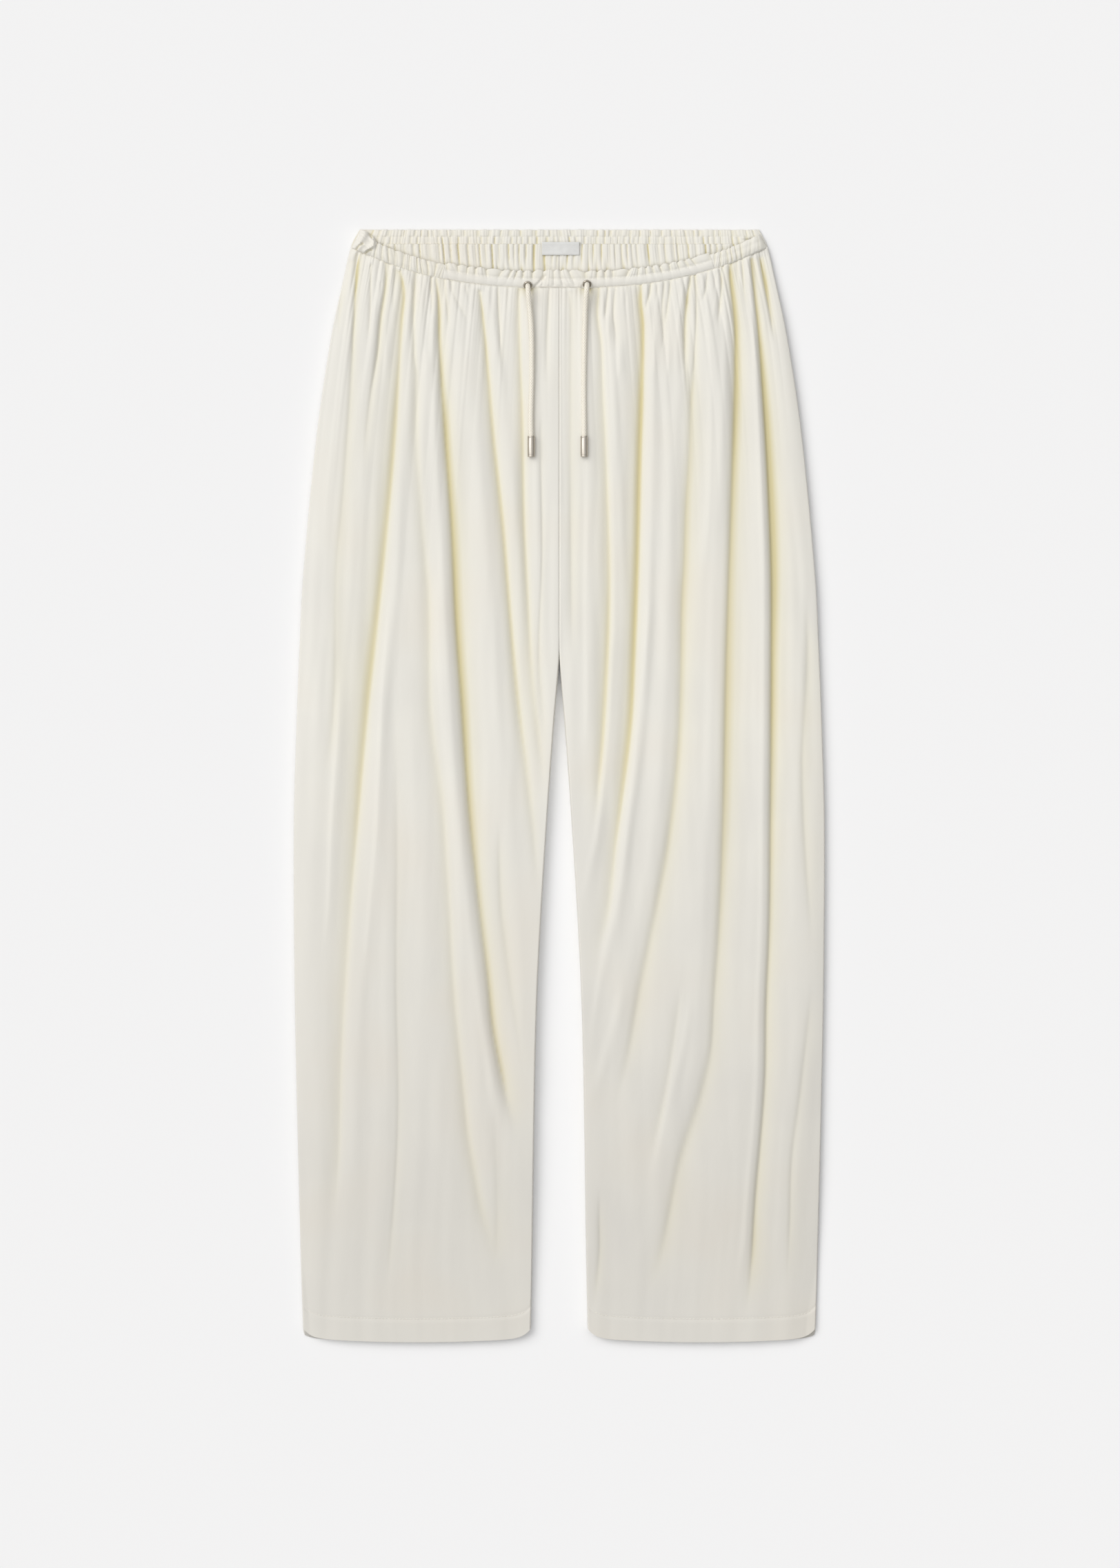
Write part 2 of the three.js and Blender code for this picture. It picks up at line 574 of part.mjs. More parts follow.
// A metal cord end: a cup that the cord goes into, a plain barrel and a stepped rim at the foot.
function metalEnd(route) {
  const [x, y, z] = route.at(-1);
  const { length, radius, rim, rimInset, cup, cupRadius, bevel } = cordEnd;
  const foot = radius - rimInset;
  const profile = [
    [0, length], [foot - bevel, length], [foot, length - bevel], [foot, length - rim],
    [radius, length - rim - bevel], [radius, bevel], [radius - bevel, 0],
    [cupRadius, 0], [cupRadius, cup], [0, cup],
  ].map(([r, along]) => new THREE.Vector2(r, -along));
  const geometry = new THREE.LatheGeometry(profile, 12);
  geometry.translate(x, y + cup - seamGap, z);
  return geometry;
}

const garment = new THREE.Group();

function add(name, geometry, finish) {
  const mesh = new THREE.Mesh(geometry, new THREE.MeshStandardMaterial(colours[finish]));
  mesh.name = name;
  garment.add(mesh);
}

add('front_leg_left', frontLeg(1, foldsOnLeft), 'cloth');
add('front_leg_right', frontLeg(-1, foldsOnRight), 'cloth');
add('back_leg_left', backLeg(1), 'cloth');
add('back_leg_right', backLeg(-1), 'cloth');
add('waistband_front', frontBand(), 'cloth');
add('waistband_side_left', sideBand(1, band.leftEnd + seamGap / 2, noTwist), 'cloth');
add('waistband_side_right', sideBand(-1, -band.rightEnd + seamGap / 2, cornerTwist), 'cloth');
add('waistband_back', backBand(), 'cloth');
add('label', label(), 'label');
for (const [name, place] of Object.entries(eyeletPlaces)) add(name, eyeletRing(place), 'metal');
for (const [name, route] of Object.entries(cordRoutes)) {
  add(name, cordTube(route), 'cord');
  add(name.replace('cord', 'cord_end'), metalEnd(route), 'metal');
}

export default garment;
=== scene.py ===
import bpy
import numpy as np
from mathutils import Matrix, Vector


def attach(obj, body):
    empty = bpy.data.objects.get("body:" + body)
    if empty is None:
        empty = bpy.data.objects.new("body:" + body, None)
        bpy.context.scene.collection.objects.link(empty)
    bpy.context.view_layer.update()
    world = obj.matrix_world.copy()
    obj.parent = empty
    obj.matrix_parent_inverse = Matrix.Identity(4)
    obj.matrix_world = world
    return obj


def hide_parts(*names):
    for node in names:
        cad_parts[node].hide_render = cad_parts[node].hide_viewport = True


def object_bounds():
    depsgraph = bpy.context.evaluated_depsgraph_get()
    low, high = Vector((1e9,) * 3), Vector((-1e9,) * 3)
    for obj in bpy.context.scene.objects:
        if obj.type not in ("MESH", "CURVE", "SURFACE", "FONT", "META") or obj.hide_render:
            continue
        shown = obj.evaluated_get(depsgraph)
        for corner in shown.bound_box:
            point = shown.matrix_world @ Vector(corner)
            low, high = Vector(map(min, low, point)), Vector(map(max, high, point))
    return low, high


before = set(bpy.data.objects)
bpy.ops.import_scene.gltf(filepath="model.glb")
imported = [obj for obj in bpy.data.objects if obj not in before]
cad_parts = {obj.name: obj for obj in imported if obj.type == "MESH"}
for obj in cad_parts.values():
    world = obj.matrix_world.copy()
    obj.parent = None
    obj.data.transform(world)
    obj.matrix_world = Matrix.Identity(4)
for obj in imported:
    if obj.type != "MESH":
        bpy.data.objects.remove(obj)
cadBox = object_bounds()

mm = 0.001
waistY = cadBox[1].y / mm
garmentLength = 2 * waistY
seamGap = 0.3
floorZ = -0.2
scene = bpy.context.scene
collection = scene.collection


# Camera: straight down on the middle of the photo's frame
view = dict(width=1055.6, height=1478.1, middleX=0.65, middleY=1.6, above=4500)


def addCamera():
    data = bpy.data.cameras.new("camera")
    data.sensor_fit = "VERTICAL"
    data.sensor_height = 36
    data.sensor_width = 36
    data.lens = data.sensor_height * view["above"] / view["height"]
    data.clip_end = 50
    camera = bpy.data.objects.new("camera", data)
    camera.location = (view["middleX"] * mm, view["middleY"] * mm, view["above"] * mm)
    collection.objects.link(camera)
    scene.camera = camera


addCamera()
print("camera placed")


# Curves and steps used by several pieces
def smooth(value, low, high):
    # 0 below low, 1 above high, and 3t² - 2t³ between them
    t = np.clip((value - low) / (high - low), 0, 1)
    return t * t * (3 - 2 * t)


def mix(a, b, t):
    return a + (b - a) * t


def bell(value, width):
    return np.exp(-(value / width) ** 2)


def curveThrough(rows, column, at):
    # A cubic through the rows of a table. The first column is the place, and the slope at a row
    # is that of the line through its two neighbours.
    rows = np.asarray(rows, float)
    place, value = rows[:, 0], rows[:, column]
    last = len(place) - 1
    before, after = np.maximum(np.arange(last + 1) - 1, 0), np.minimum(np.arange(last + 1) + 1, last)
    slope = (value[after] - value[before]) / (place[after] - place[before])
    k = np.clip(np.searchsorted(place, at) - 1, 0, last - 1)
    gap = place[k + 1] - place[k]
    t = np.clip((at - place[k]) / gap, 0, 1)
    start = (1 + 2 * t) * (1 - t) ** 2 * value[k] + t * (1 - t) ** 2 * gap * slope[k]
    return start + t * t * (3 - 2 * t) * value[k + 1] + t * t * (t - 1) * gap * slope[k + 1]


def steps(low, between, high, first, rest):
    # Places from low to high: so many up to the one between, and the rest from there
    return np.append(np.linspace(low, between, first, endpoint=False), np.linspace(between, high, rest))


def turnAtEnd(flat, turning):
    # Angles along a row that is flat and then turns down in a quarter circle
    return np.append(np.zeros(flat), np.linspace(0, np.pi / 2, turning + 1)[1:])


def roundAngles(sides):
    return np.linspace(0, 2 * np.pi, sides, endpoint=False)


def squareTo(ahead, upward):
    # The directions ahead at length 1, and two square to each; the last keeps close to upward
    ahead = ahead / np.linalg.norm(ahead, axis=1, keepdims=True)
    right = np.cross(ahead, upward)
    right = right / np.linalg.norm(right, axis=1, keepdims=True)
    return ahead, right, np.cross(right, ahead)


def nearLine(x, y, line):
    # Distance from each point to a line of straight steps
    nearest = np.full(np.shape(x), 1e9)
    for (ax, ay), (bx, by) in zip(line[:-1], line[1:]):
        dx, dy = bx - ax, by - ay
        t = np.clip(((x - ax) * dx + (y - ay) * dy) / (dx * dx + dy * dy), 0, 1)
        nearest = np.minimum(nearest, np.hypot(x - ax - t * dx, y - ay - t * dy))
    return nearest


# Meshes
def makeMesh(name, points, faces, material, paintedShade=None):
    # points in mm, faces of four; the order of a face is turned round where the volume is negative
    corners = points[faces]
    diagonals = np.cross(corners[:, 2] - corners[:, 0], corners[:, 3] - corners[:, 1])
    if np.sum(corners.mean(1) * diagonals) < 0:
        faces = faces[:, ::-1]
    mesh = bpy.data.meshes.new(name)
    mesh.from_pydata((points * mm).tolist(), [], faces.tolist())
    mesh.validate()
    mesh.polygons.foreach_set("use_smooth", np.ones(len(mesh.polygons), bool))
    # A point attribute of painted shade: darker, warmer colour deep in folds and in the gaps of the braid
    if paintedShade is not None:
        values = mesh.attributes.new("paintedShade", "FLOAT", "POINT").data
        values.foreach_set("value", paintedShade.astype(np.float32).ravel())
    mesh.materials.append(material)
    piece = bpy.data.objects.new(name, mesh)
    collection.objects.link(piece)
    return piece


def gridFaces(number, rowsRound=0, columnsRound=0):
    # Faces between neighbours in a grid of point numbers. A grid that goes round closes on its
    # first row or column.
    number = np.pad(number, ((0, rowsRound), (0, columnsRound)), "wrap")
    return np.stack([number[:-1, :-1], number[:-1, 1:], number[1:, 1:], number[1:, :-1]], -1).reshape(-1, 4)


def closedShell(name, outer, inner, material, paintedShade=None):
    # Two grids of points, the outer and the inner face of a cloth, joined along their four edges
    rows, columns = outer.shape[:2]
    number = np.arange(rows * columns).reshape(rows, columns)
    rim = np.concatenate([number[0], number[1:, -1], number[-1, -2::-1], number[-2:0:-1, 0]])
    ahead, below = np.roll(rim, -1), number.size
    side = np.stack([rim, rim + below, ahead + below, ahead], -1)
    faces = np.concatenate([gridFaces(number), gridFaces(number)[:, ::-1] + below, side])
    points = np.concatenate([outer.reshape(-1, 3), inner.reshape(-1, 3)])
    if paintedShade is not None:
        paintedShade = np.concatenate([paintedShade.ravel(), paintedShade.ravel()])
    return makeMesh(name, points, faces, material, paintedShade)


def layer(name, x, y, top, under, material, paintedShade=None):
    # A cloth between two heights over the same places
    outer, inner = (np.stack(np.broadcast_arrays(x, y, height), -1) for height in (top, under))
    return closedShell(name, outer, inner, material, paintedShade)


def tubeFaces(rows, sides):
    # Rings of points round a path, with a small cap at each end
    number = np.arange(rows * sides).reshape(rows, sides)
    first, last = (gridFaces(np.stack([ring, ring[::-1]])[:, :sides // 2]) for ring in number[[0, -1]])
    return np.concatenate([gridFaces(number, 0, 1), first[:, ::-1], last])


def tube(name, rings, material, paintedShade=None):
    return makeMesh(name, rings.reshape(-1, 3), tubeFaces(*rings.shape[:2]), material, paintedShade)


def sided(part, side):
    return part + ("_left" if side > 0 else "_right")


def rideRoot(piece, slotName, *nodes):
    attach(piece, "root")
    if nodes:
        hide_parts(*nodes)
    return piece


# Materials
def feed(tree, node, inputs):
    # An input takes a plain value or the output of another node
    for socket, value in inputs.items():
        if isinstance(value, bpy.types.NodeSocket):
            tree.links.new(value, node.inputs[socket])
        else:
            node.inputs[socket].default_value = value


def addNode(tree, kind, inputs=None, **settings):
    node = tree.nodes.new(kind)
    for setting, value in settings.items():
        setattr(node, setting, value)
    feed(tree, node, inputs or {})
    return node


def newMaterial(name, colour, inputs):
    material = bpy.data.materials.new(name)
    material.use_nodes = True
    tree = material.node_tree
    shader = tree.nodes["Principled BSDF"]
    feed(tree, shader, {"Base Color": (*colour, 1), **inputs})
    return material, tree, shader


def objectPlace(tree):
    return addNode(tree, "ShaderNodeTexCoord").outputs["Object"]


def paintedShadeInput(tree):
    # The painted shade of each point: how far down in a fold or gap it lies
    return addNode(tree, "ShaderNodeAttribute", attribute_name="paintedShade").outputs["Fac"]


def noise(tree, place, scale, detail):
    inputs = {"Vector": place, "Scale": scale, "Detail": detail}
    return addNode(tree, "ShaderNodeTexNoise", inputs).outputs["Fac"]


def colourRamp(tree, value, *stops):
    # stops are (place, colour)
    node = addNode(tree, "ShaderNodeValToRGB", {"Fac": value})
    ramp = node.color_ramp
    for k in (0, -1):
        ramp.elements[k].position, ramp.elements[k].color = stops[k][0], (*stops[k][1], 1)
    for position, colour in stops[1:-1]:
        ramp.elements.new(position).color = (*colour, 1)
    return node.outputs["Color"]


def multiply(tree, a, b):
    # 6, 7 and 2 are the colour sockets
    inputs = {0: 1, 6: a, 7: b}
    return addNode(tree, "ShaderNodeMix", inputs, data_type="RGBA", blend_type="MULTIPLY").outputs[2]


def addBump(tree, shader, *layers):
    # layers are (value, strength, distance in mm), the coarsest first
    inputs = {}
    for value, strength, distance in layers:
        inputs.update(Height=value, Strength=strength, Distance=distance * mm)
        inputs["Normal"] = addNode(tree, "ShaderNodeBump", inputs).outputs["Normal"]
    feed(tree, shader, {"Normal": inputs["Normal"]})


def mottled(name, colour, scale, low, high, inputs):
    # A material that drifts between two tones in small patches
    material, tree, shader = newMaterial(name, colour, inputs)
    place = objectPlace(tree)
    tint = colourRamp(tree, noise(tree, place, scale, 2), (0.3, low), (0.7, high))
    feed(tree, shader, {"Base Color": tint})
    return material, tree, shader, place


# fold and valley are painted shade: darker, warmer tones for the bottoms of folds
cloth = dict(
    crown=(0.80, 0.78, 0.72), fold=(0.783, 0.752, 0.637), valley=(0.64, 0.572, 0.335), foldAt=0.45,
    warm=(1, 0.985, 0.97), cool=(0.973, 0.973, 0.98), patchScale=9, lowLeg=(0.877, 0.871, 0.869),
    greyBelow=0.05, greyLength=0.45, roughness=0.8, sheen=0.2, weaveScale=2600, crumpleScale=90,
)
white = (1, 1, 1)


def clothMaterial():
    # Ivory crepe: a fine weave, faint crumples, warmer and cooler patches, greyer low legs, and
    # painted shade, darker and warmer, down in the folds
    material, tree, shader = newMaterial("ivoryCloth", cloth["crown"], {
        "Roughness": cloth["roughness"], "Sheen Weight": cloth["sheen"], "Sheen Roughness": 0.5,
    })
    place = objectPlace(tree)
    # Painted shade: the colour goes darker and warmer the deeper a point lies in a fold
    folds = colourRamp(
        tree, paintedShadeInput(tree), (0, cloth["crown"]), (cloth["foldAt"], cloth["fold"]), (1, cloth["valley"]))
    patches = colourRamp(
        tree, noise(tree, place, cloth["patchScale"], 2),
        (0.3, cloth["warm"]), (0.5, white), (0.7, cloth["cool"]))
    split = addNode(tree, "ShaderNodeSeparateXYZ", {"Vector": place})
    low = addNode(tree, "ShaderNodeMapRange", {
        "Value": split.outputs["Y"], "From Min": cloth["greyBelow"],
        "From Max": cloth["greyBelow"] - cloth["greyLength"],
    })
    legs = colourRamp(tree, low.outputs["Result"], (0, white), (1, cloth["lowLeg"]))
    feed(tree, shader, {"Base Color": multiply(tree, multiply(tree, folds, patches), legs)})
    stretch = addNode(tree, "ShaderNodeMapping", {"Vector": place, "Scale": (1, 0.3, 1)})
    crumples = noise(tree, stretch.outputs["Vector"], cloth["crumpleScale"], 3)
    addBump(tree, shader, (crumples, 0.5, 0.5), (noise(tree, place, cloth["weaveScale"], 1), 0.35, 0.06))
    return material


def labelMaterial():
    # Satin tape: fine ribs across it and a soft gloss
    material, tree, shader, place = mottled(
        "labelSatin", (0.73, 0.73, 0.71), 150, (0.70, 0.70, 0.68), (0.76, 0.76, 0.74),
        {"Roughness": 0.5, "Sheen Weight": 0.2})
    ribs = addNode(
        tree, "ShaderNodeTexWave", {"Vector": place, "Scale": 700, "Distortion": 1},
        wave_type="BANDS", bands_direction="Y")
    addBump(tree, shader, (ribs.outputs["Fac"], 0.4, 0.08))
    return material


def cordMaterial():
    # Cotton braid: painted shade darkens the gaps between its yarns, and its fibres are fine
    material, tree, shader = newMaterial(
        "cordCotton", (0.82, 0.78, 0.69), {"Roughness": 0.85, "Sheen Weight": 0.2})
    yarns = colourRamp(
        tree, paintedShadeInput(tree), (0, (0.94, 0.915, 0.84)), (0.4, (0.84, 0.79, 0.68)), (1, (0.56, 0.48, 0.36)))
    feed(tree, shader, {"Base Color": yarns})
    addBump(tree, shader, (noise(tree, objectPlace(tree), 5200, 2), 0.4, 0.05))
    return material


def metalMaterial(name, tone, smoothest):
    # Polished nickel with faint rubbed patches
    tones = [[share * part for part in tone] for share in (0.96, 1.04)]
    material, tree, shader, place = mottled(name, tone, 500, *tones, {"Metallic": 1})
    rubbed = addNode(tree, "ShaderNodeMapRange", {
        "Value": noise(tree, place, 900, 3), "To Min": smoothest, "To Max": smoothest + 0.05,
    })
    feed(tree, shader, {"Roughness": rubbed.outputs["Result"]})
    return material


ivory, satin, cotton = clothMaterial(), labelMaterial(), cordMaterial()
thread = mottled(
    "thread", (0.84, 0.82, 0.75), 2500, (0.79, 0.76, 0.68), (0.88, 0.86, 0.80), {"Roughness": 0.6})[0]
nickel = metalMaterial("nickel", (0.60, 0.555, 0.49), 0.42)
# Painted shade: the eyelets use a darker copy of the nickel, standing in for the shade on their inner walls
shadedNickel = metalMaterial("shadedNickel", (0.47, 0.43, 0.37), 0.14)
print("materials made")


# Cords: the routes of their centre lines, from inside each eyelet to the metal end
cord = dict(radius=2.5, yarns=6, turn=8.2, relief=0.15, sides=32, perMm=3.5)
cordRoutes = dict(
    cord_right=[
        (-29.6, 472.2, 6.1), (-29.6, 471.2, 7.8), (-29.6, 470.1, 9.7), (-29.5, 468.6, 11.6),
        (-29.4, 466.2, 13.1), (-29.1, 462.6, 13.8), (-28.6, 458, 13.4), (-28.0, 451.5, 12.2),
        (-27.2, 443, 11.8), (-26.4, 432, 11.9), (-26.0, 422, 12.1), (-25.8, 411, 12.3),
        (-25.8, 400, 12.5), (-25.8, 389, 12.5), (-26.0, 377, 12.5), (-26.3, 365, 12.5),
        (-26.6, 354, 12.6), (-26.7, 344, 12.8), (-26.6, 334, 12.9), (-26.4, 323.9, 13.0),
    ],
    cord_left=[
        (26.1, 473.2, 6.5), (26.1, 472.2, 8.2), (26.1, 471.1, 10.1), (26.0, 469.6, 12.0),
        (25.8, 467.2, 13.4), (25.5, 463.6, 14.0), (25.1, 459, 13.5), (24.7, 452, 12.0),
        (24.3, 443, 11.1), (24.0, 432, 11.1), (23.8, 422, 11.3), (23.6, 411, 11.5),
        (23.4, 400, 11.7), (23.3, 389, 11.9), (23.2, 377, 12.0), (23.2, 365, 12.0),
        (23.3, 354, 12.2), (23.4, 344, 12.5), (23.4, 334, 12.8), (23.3, 323.9, 13.0),
    ],
)
cordEnd = dict(length=19.5, radius=3.4, rim=1.6, rimInset=0.12, cup=5, cupRadius=2.9, bevel=0.22, groove=2)


def evenly(route, step):
    # The route as a smooth line with a point every step of its length, and how far along each is
    route = np.asarray(route, float)
    reach = np.concatenate([[0], np.cumsum(np.linalg.norm(np.diff(route, axis=0), axis=1))])
    at = np.linspace(0, reach[-1], int(reach[-1] / step) + 1)
    line = np.stack([curveThrough(np.stack([reach, route[:, k]], 1), 1, at) for k in range(3)], 1)
    return line, at


def makeCord(name, route):
    # A round tube whose radius rises and falls with two crossing sets of helical yarns: each yarn
    # is a rounded ridge, and it is low where the other set crosses over it.
    line, at = evenly(route, 1 / cord["perMm"])
    _, right, up = squareTo(np.gradient(line, axis=0), (0, 0.3, 1))
    s, a = np.meshgrid(at, roundAngles(cord["sides"]), indexing="ij")
    half = cord["yarns"] / 2
    one, two = half * (a + np.pi * s / cord["turn"]), half * (a - np.pi * s / cord["turn"])
    ridgeOne = np.abs(np.cos(one)) ** 1.4 * (0.5 + 0.5 * np.abs(np.sin(two)))
    ridgeTwo = np.abs(np.cos(two)) ** 1.4 * (0.5 + 0.5 * np.abs(np.sin(one)))
    yarn = np.maximum(ridgeOne, ridgeTwo)
    radius = cord["radius"] * (1 - cord["relief"] * (1 - yarn))
    ring = right[:, None] * np.cos(a)[..., None] + up[:, None] * np.sin(a)[..., None]
    # The last argument is painted shade: 1 in the gaps where the yarns are lowest
    piece = tube(name.replace("_", "Braid_"), line[:, None] + ring * radius[..., None], cotton, 1 - yarn)
    rideRoot(piece, "cord", name)
    return piece, line


def turned(profile, centre, along, across, sides):
    # Rings of points: a profile of (radius, distance along the axis) turned round an axis
    profile = np.asarray(profile, float)
    along, across = np.asarray(along, float), np.asarray(across, float)
    angle = roundAngles(sides)[:, None]
    ring = across * np.cos(angle) + np.cross(along, across) * np.sin(angle)
    return np.asarray(centre) + profile[:, 1, None, None] * along + profile[:, 0, None, None] * ring


def arc(radiusAt, alongAt, size, fromTurn, toTurn, count=8):
    # Points of a round corner: a circle of a size about (radiusAt, alongAt)
    turn = np.radians(np.linspace(fromTurn, toTurn, count))
    return list(zip(radiusAt + size * np.cos(turn), alongAt + size * np.sin(turn)))


def makeCordEnd(name, route):
    # A turned ferrule: a rolled lip, a plain barrel with a fine groove, and a stepped foot
    x, y, z = route[-1]
    radius, length, cup, lip = (cordEnd[key] for key in ("radius", "length", "cup", "cupRadius"))
    foot, edge, rimAt = radius - cordEnd["rimInset"], cordEnd["bevel"], length - cordEnd["rim"]
    groove = cordEnd["groove"]
    profile = (
        [(0.05, cup), (lip * 0.6, cup), (lip, cup - edge), (lip, edge)]
        + arc(lip + edge / 2, edge / 2, edge / 2, 180, 270, 4)
        + arc(radius - edge, edge, edge, 270, 360)
        + [(radius, groove - edge), (radius - edge / 2, groove), (radius, groove + edge)]
        + arc(radius - edge, rimAt - 2 * edge, edge, 0, 90)
        + [(foot, rimAt - edge), (foot, rimAt)]
        + arc(foot - edge, length - edge, edge, 0, 90)
        + [(foot * 0.5, length), (0.05, length)]
    )
    mouth = (x, y + cup - seamGap, z)
    rings = turned(profile, mouth, (0, -1, 0), (-1, 0, 0), 64)
    return rideRoot(tube(name.replace("_end_", "Ferrule_"), rings, nickel), "metal", name)


for name, route in cordRoutes.items():
    braid, line = makeCord(name, route)
    ferrule = makeCordEnd(name.replace("cord", "cord_end"), route)
print("cords made")


# The legs: how far the side edge and the inseam edge lie from the centre line
outline = [   # down, side, inseam
    (0, 188, 0), (14, 195.5, 0), (45, 203, 0), (102, 215, 0), (193, 228.5, 0), (329, 241.5, 0),
    (401, 245, 0), (466, 247.5, 5), (557, 250, 11.5), (693, 249.5, 19.5), (784, 248, 22.5),
    (966, 243.5, 25.3), (1048, 241, 27),
]
scoop = dict(down=55.5, rise=36, reach=190, power=2.6)
leg = dict(
    foot=1.8, lowest=3.3, waist=8.2, waistReach=90, body=10.5, hem=6.5, hemReach=190, roll=1.2,
    crotch=401, turnFrom=389, turnTo=427, wall=0.9, slope=4.3, slopeReach=18, overBand=0.2,
)
hem = dict(depth=22, extra=0.4, bow=4, corner=9, cornerPower=16, wall=1.6, groove=0.45)
seam = dict(dip=0.8, reach=1.2, centreDip=0.55, centreWidth=0.7, fell=1.3, fellWidth=0.6, fellRaise=0.1)
eyelets = dict(
    eyelet_right=(-29.6, 471.2, 7.8), eyelet_left=(26.1, 472.2, 8.2),
)

# Creases of the fronts: rows of down, x, depth and width in mm. A negative depth
# is a ridge. A crease may have a lean of its own; where that is positive it is steeper toward +X.
creasesRight = [
    [(23, -190, 4, 3), (60, -192, 4.5, 3), (107, -194, 4, 3.5), (148, -196, 2.5, 5), (251, -203, 2, 8),
     (319, -209, 2, 9), (460, -212, 2, 9), (542, -224, 0, 9)],
    [(420, -206, 0, 5), (455, -207, -1, 5), (569, -214, -1.2, 5), (629, -216, -1, 5), (716, -222, 0, 5)],
    [(29, -197, 1.5, 4), (50, -204, 1.5, 4), (79, -207, 1.2, 4), (112, -208, 0, 4)],
    [(29, -163, 3.5, 3), (55, -164, 4.5, 3), (83, -168, 5, 3.5), (118, -171, 4.5, 4), (155, -177, 2.5, 5),
     (203, -182, 1.5, 6), (256, -183, 0, 7)],
    ([(38, -150, 5, 3), (59, -146, 6, 4), (87, -148, 6.5, 5), (118, -150, 6, 5.5), (208, -156, 6, 7),
      (294, -164, 6, 8), (356, -170.5, 6.5, 8), (405, -176, 6.5, 9), (455, -181.5, 6, 9), (554, -190, 5.5, 9),
      (654, -198, 5, 9), (775, -205, 4.5, 8), (876, -208, 3.5, 8), (955, -216, 0, 7)], 0.4),
    [(340, -158, 0, 7), (380, -161, -1.2, 6), (443, -166, -1.3, 6), (567, -171, -1.3, 6),
     (679, -180, -1, 6), (740, -181, 0, 6)],
    ([(38, -135, 3, 2.5), (71, -136.5, 3.5, 3), (118, -136, 3.5, 4), (135, -134.5, 3, 5), (198, -134, 2.5, 6),
      (304, -127, 2.5, 7), (340, -123, 2.5, 7), (455, -121, 2.5, 7), (542, -110, 3, 7), (629, -104, 3.5, 7),
      (716, -99, 5, 7), (809, -90, 6, 7), (854, -85, 6, 7), (921, -73, 5, 7), (966, -62, 2, 7),
      (995, -62, 0, 7)], 0.2),
    [(330, -115, 0, 6), (356, -114, -1, 6), (455, -108, -1.1, 6), (542, -99, -1.1, 6), (642, -92, -1, 6),
     (735, -86, 0, 6)],
    ([(47, -116, 4, 2.5), (68, -114, 5.5, 3), (103, -113, 6.5, 4), (142, -111, 7, 5), (184, -108, 7.5, 6),
      (280, -101, 8, 7), (367, -97, 8, 7), (455, -91, 8, 7), (542, -85, 8, 7), (629, -76, 8, 7),
      (704, -67, 10, 7), (753, -62, 12, 6), (809, -51, 12, 6), (862, -36, 8, 6)], -0.5),
    ([(57, -75, 4, 2.5), (81, -72, 5.5, 3), (122, -68, 6, 4), (196, -62, 6, 5), (280, -53, 6, 5),
      (367, -46, 5.5, 5), (443, -39, 5, 5.5), (530, -28, 3.5, 6), (592, -22, 2, 6), (654, -18, 0, 6)], 0.1),
    ([(55, -38, 2.5, 3), (116, -37, 5, 4), (172, -35, 5, 5), (280, -33, 5, 5.5), (340, -30, 4.5, 6),
      (400, -27, 4, 6), (450, -23, 3.5, 6), (510, -15, 2, 5), (554, -12, 0, 5)], 0.2),
    [(175, -17, 0, 3), (200, -17.5, 1.2, 3), (304, -16, 1.5, 3), (405, -19, 1.5, 3.5),
     (460, -15, 1.2, 3.5), (517, -10, 0, 3)],
    [(440, -155, 0, 8), (560, -152.5, 0.9, 7), (716, -153, 2, 6), (820, -151, 2.2, 6),
     (898, -154, 2.5, 5), (960, -159, 1.5, 5), (1019, -164, 0.5, 5)],
    [(560, -57, 0, 6), (600, -56, 2, 6), (642, -54, 2.5, 6), (692, -48, 2.5, 6.5), (741, -41, 2, 6.5),
     (787, -34, 1, 6), (820, -29, 0, 6)],
    [(820, -61, 0, 8), (880, -59, 1.3, 9), (943, -58, 1.9, 9), (1000, -62, 0.5, 8)],
    [(770, -72, 0, 4), (800, -65, -0.8, 4), (820, -59, -0.9, 4), (860, -48, 0, 4)],
    ([(34, -177, 2, 1.8), (71, -177.5, 2.2, 2), (107, -179, 1, 2.2), (120, -181, 0, 2.2)], 0.3),
    [(50, -168, 1.2, 1.5), (64, -168, 0, 1.5)],
    [(34, -154, 1.8, 1.8), (62, -156, 1.2, 2), (82, -157, 0, 2)],
    [(42, -129, 1.4, 1.5), (60, -129, 0, 1.5)],
    [(45, -121, 2.5, 2), (64, -120, 2.3, 2.2), (88, -120, 0, 2.5)],
    [(45, -112, 1.5, 1.5), (70, -110, 0, 1.5)],
    [(42, -109, 2.2, 1.8), (79, -105, 1.8, 2.5), (105, -102, 0, 3)],
    [(44, -103, 1.8, 1.6), (60, -100, 1.2, 2), (81, -89, 1.2, 3), (94, -84, 0, 3)],
    [(54, -88, 1.6, 2), (72, -84, 0, 2.5)],
    [(55, -58, 2.4, 2), (81, -57, 2.6, 2.5), (112, -55, 2, 3), (145, -54, 0, 4)],
    [(54, -49, 1.4, 2), (82, -49, 0, 3)],
    [(56, -10, 1.4, 2.5), (81, -11, 2, 3), (109, -12, 1.8, 3.5), (160, -12, 0, 5)],
    [(110, -126, 0, 3), (130, -126, -0.8, 3.5), (150, -126, 0, 4)],
    [(58, -142, 0, 3), (85, -143, -0.9, 3.5), (120, -144, 0, 4)],
    [(90, -162, 0, 3), (115, -163, -0.8, 3), (150, -164, 0, 3)],
]
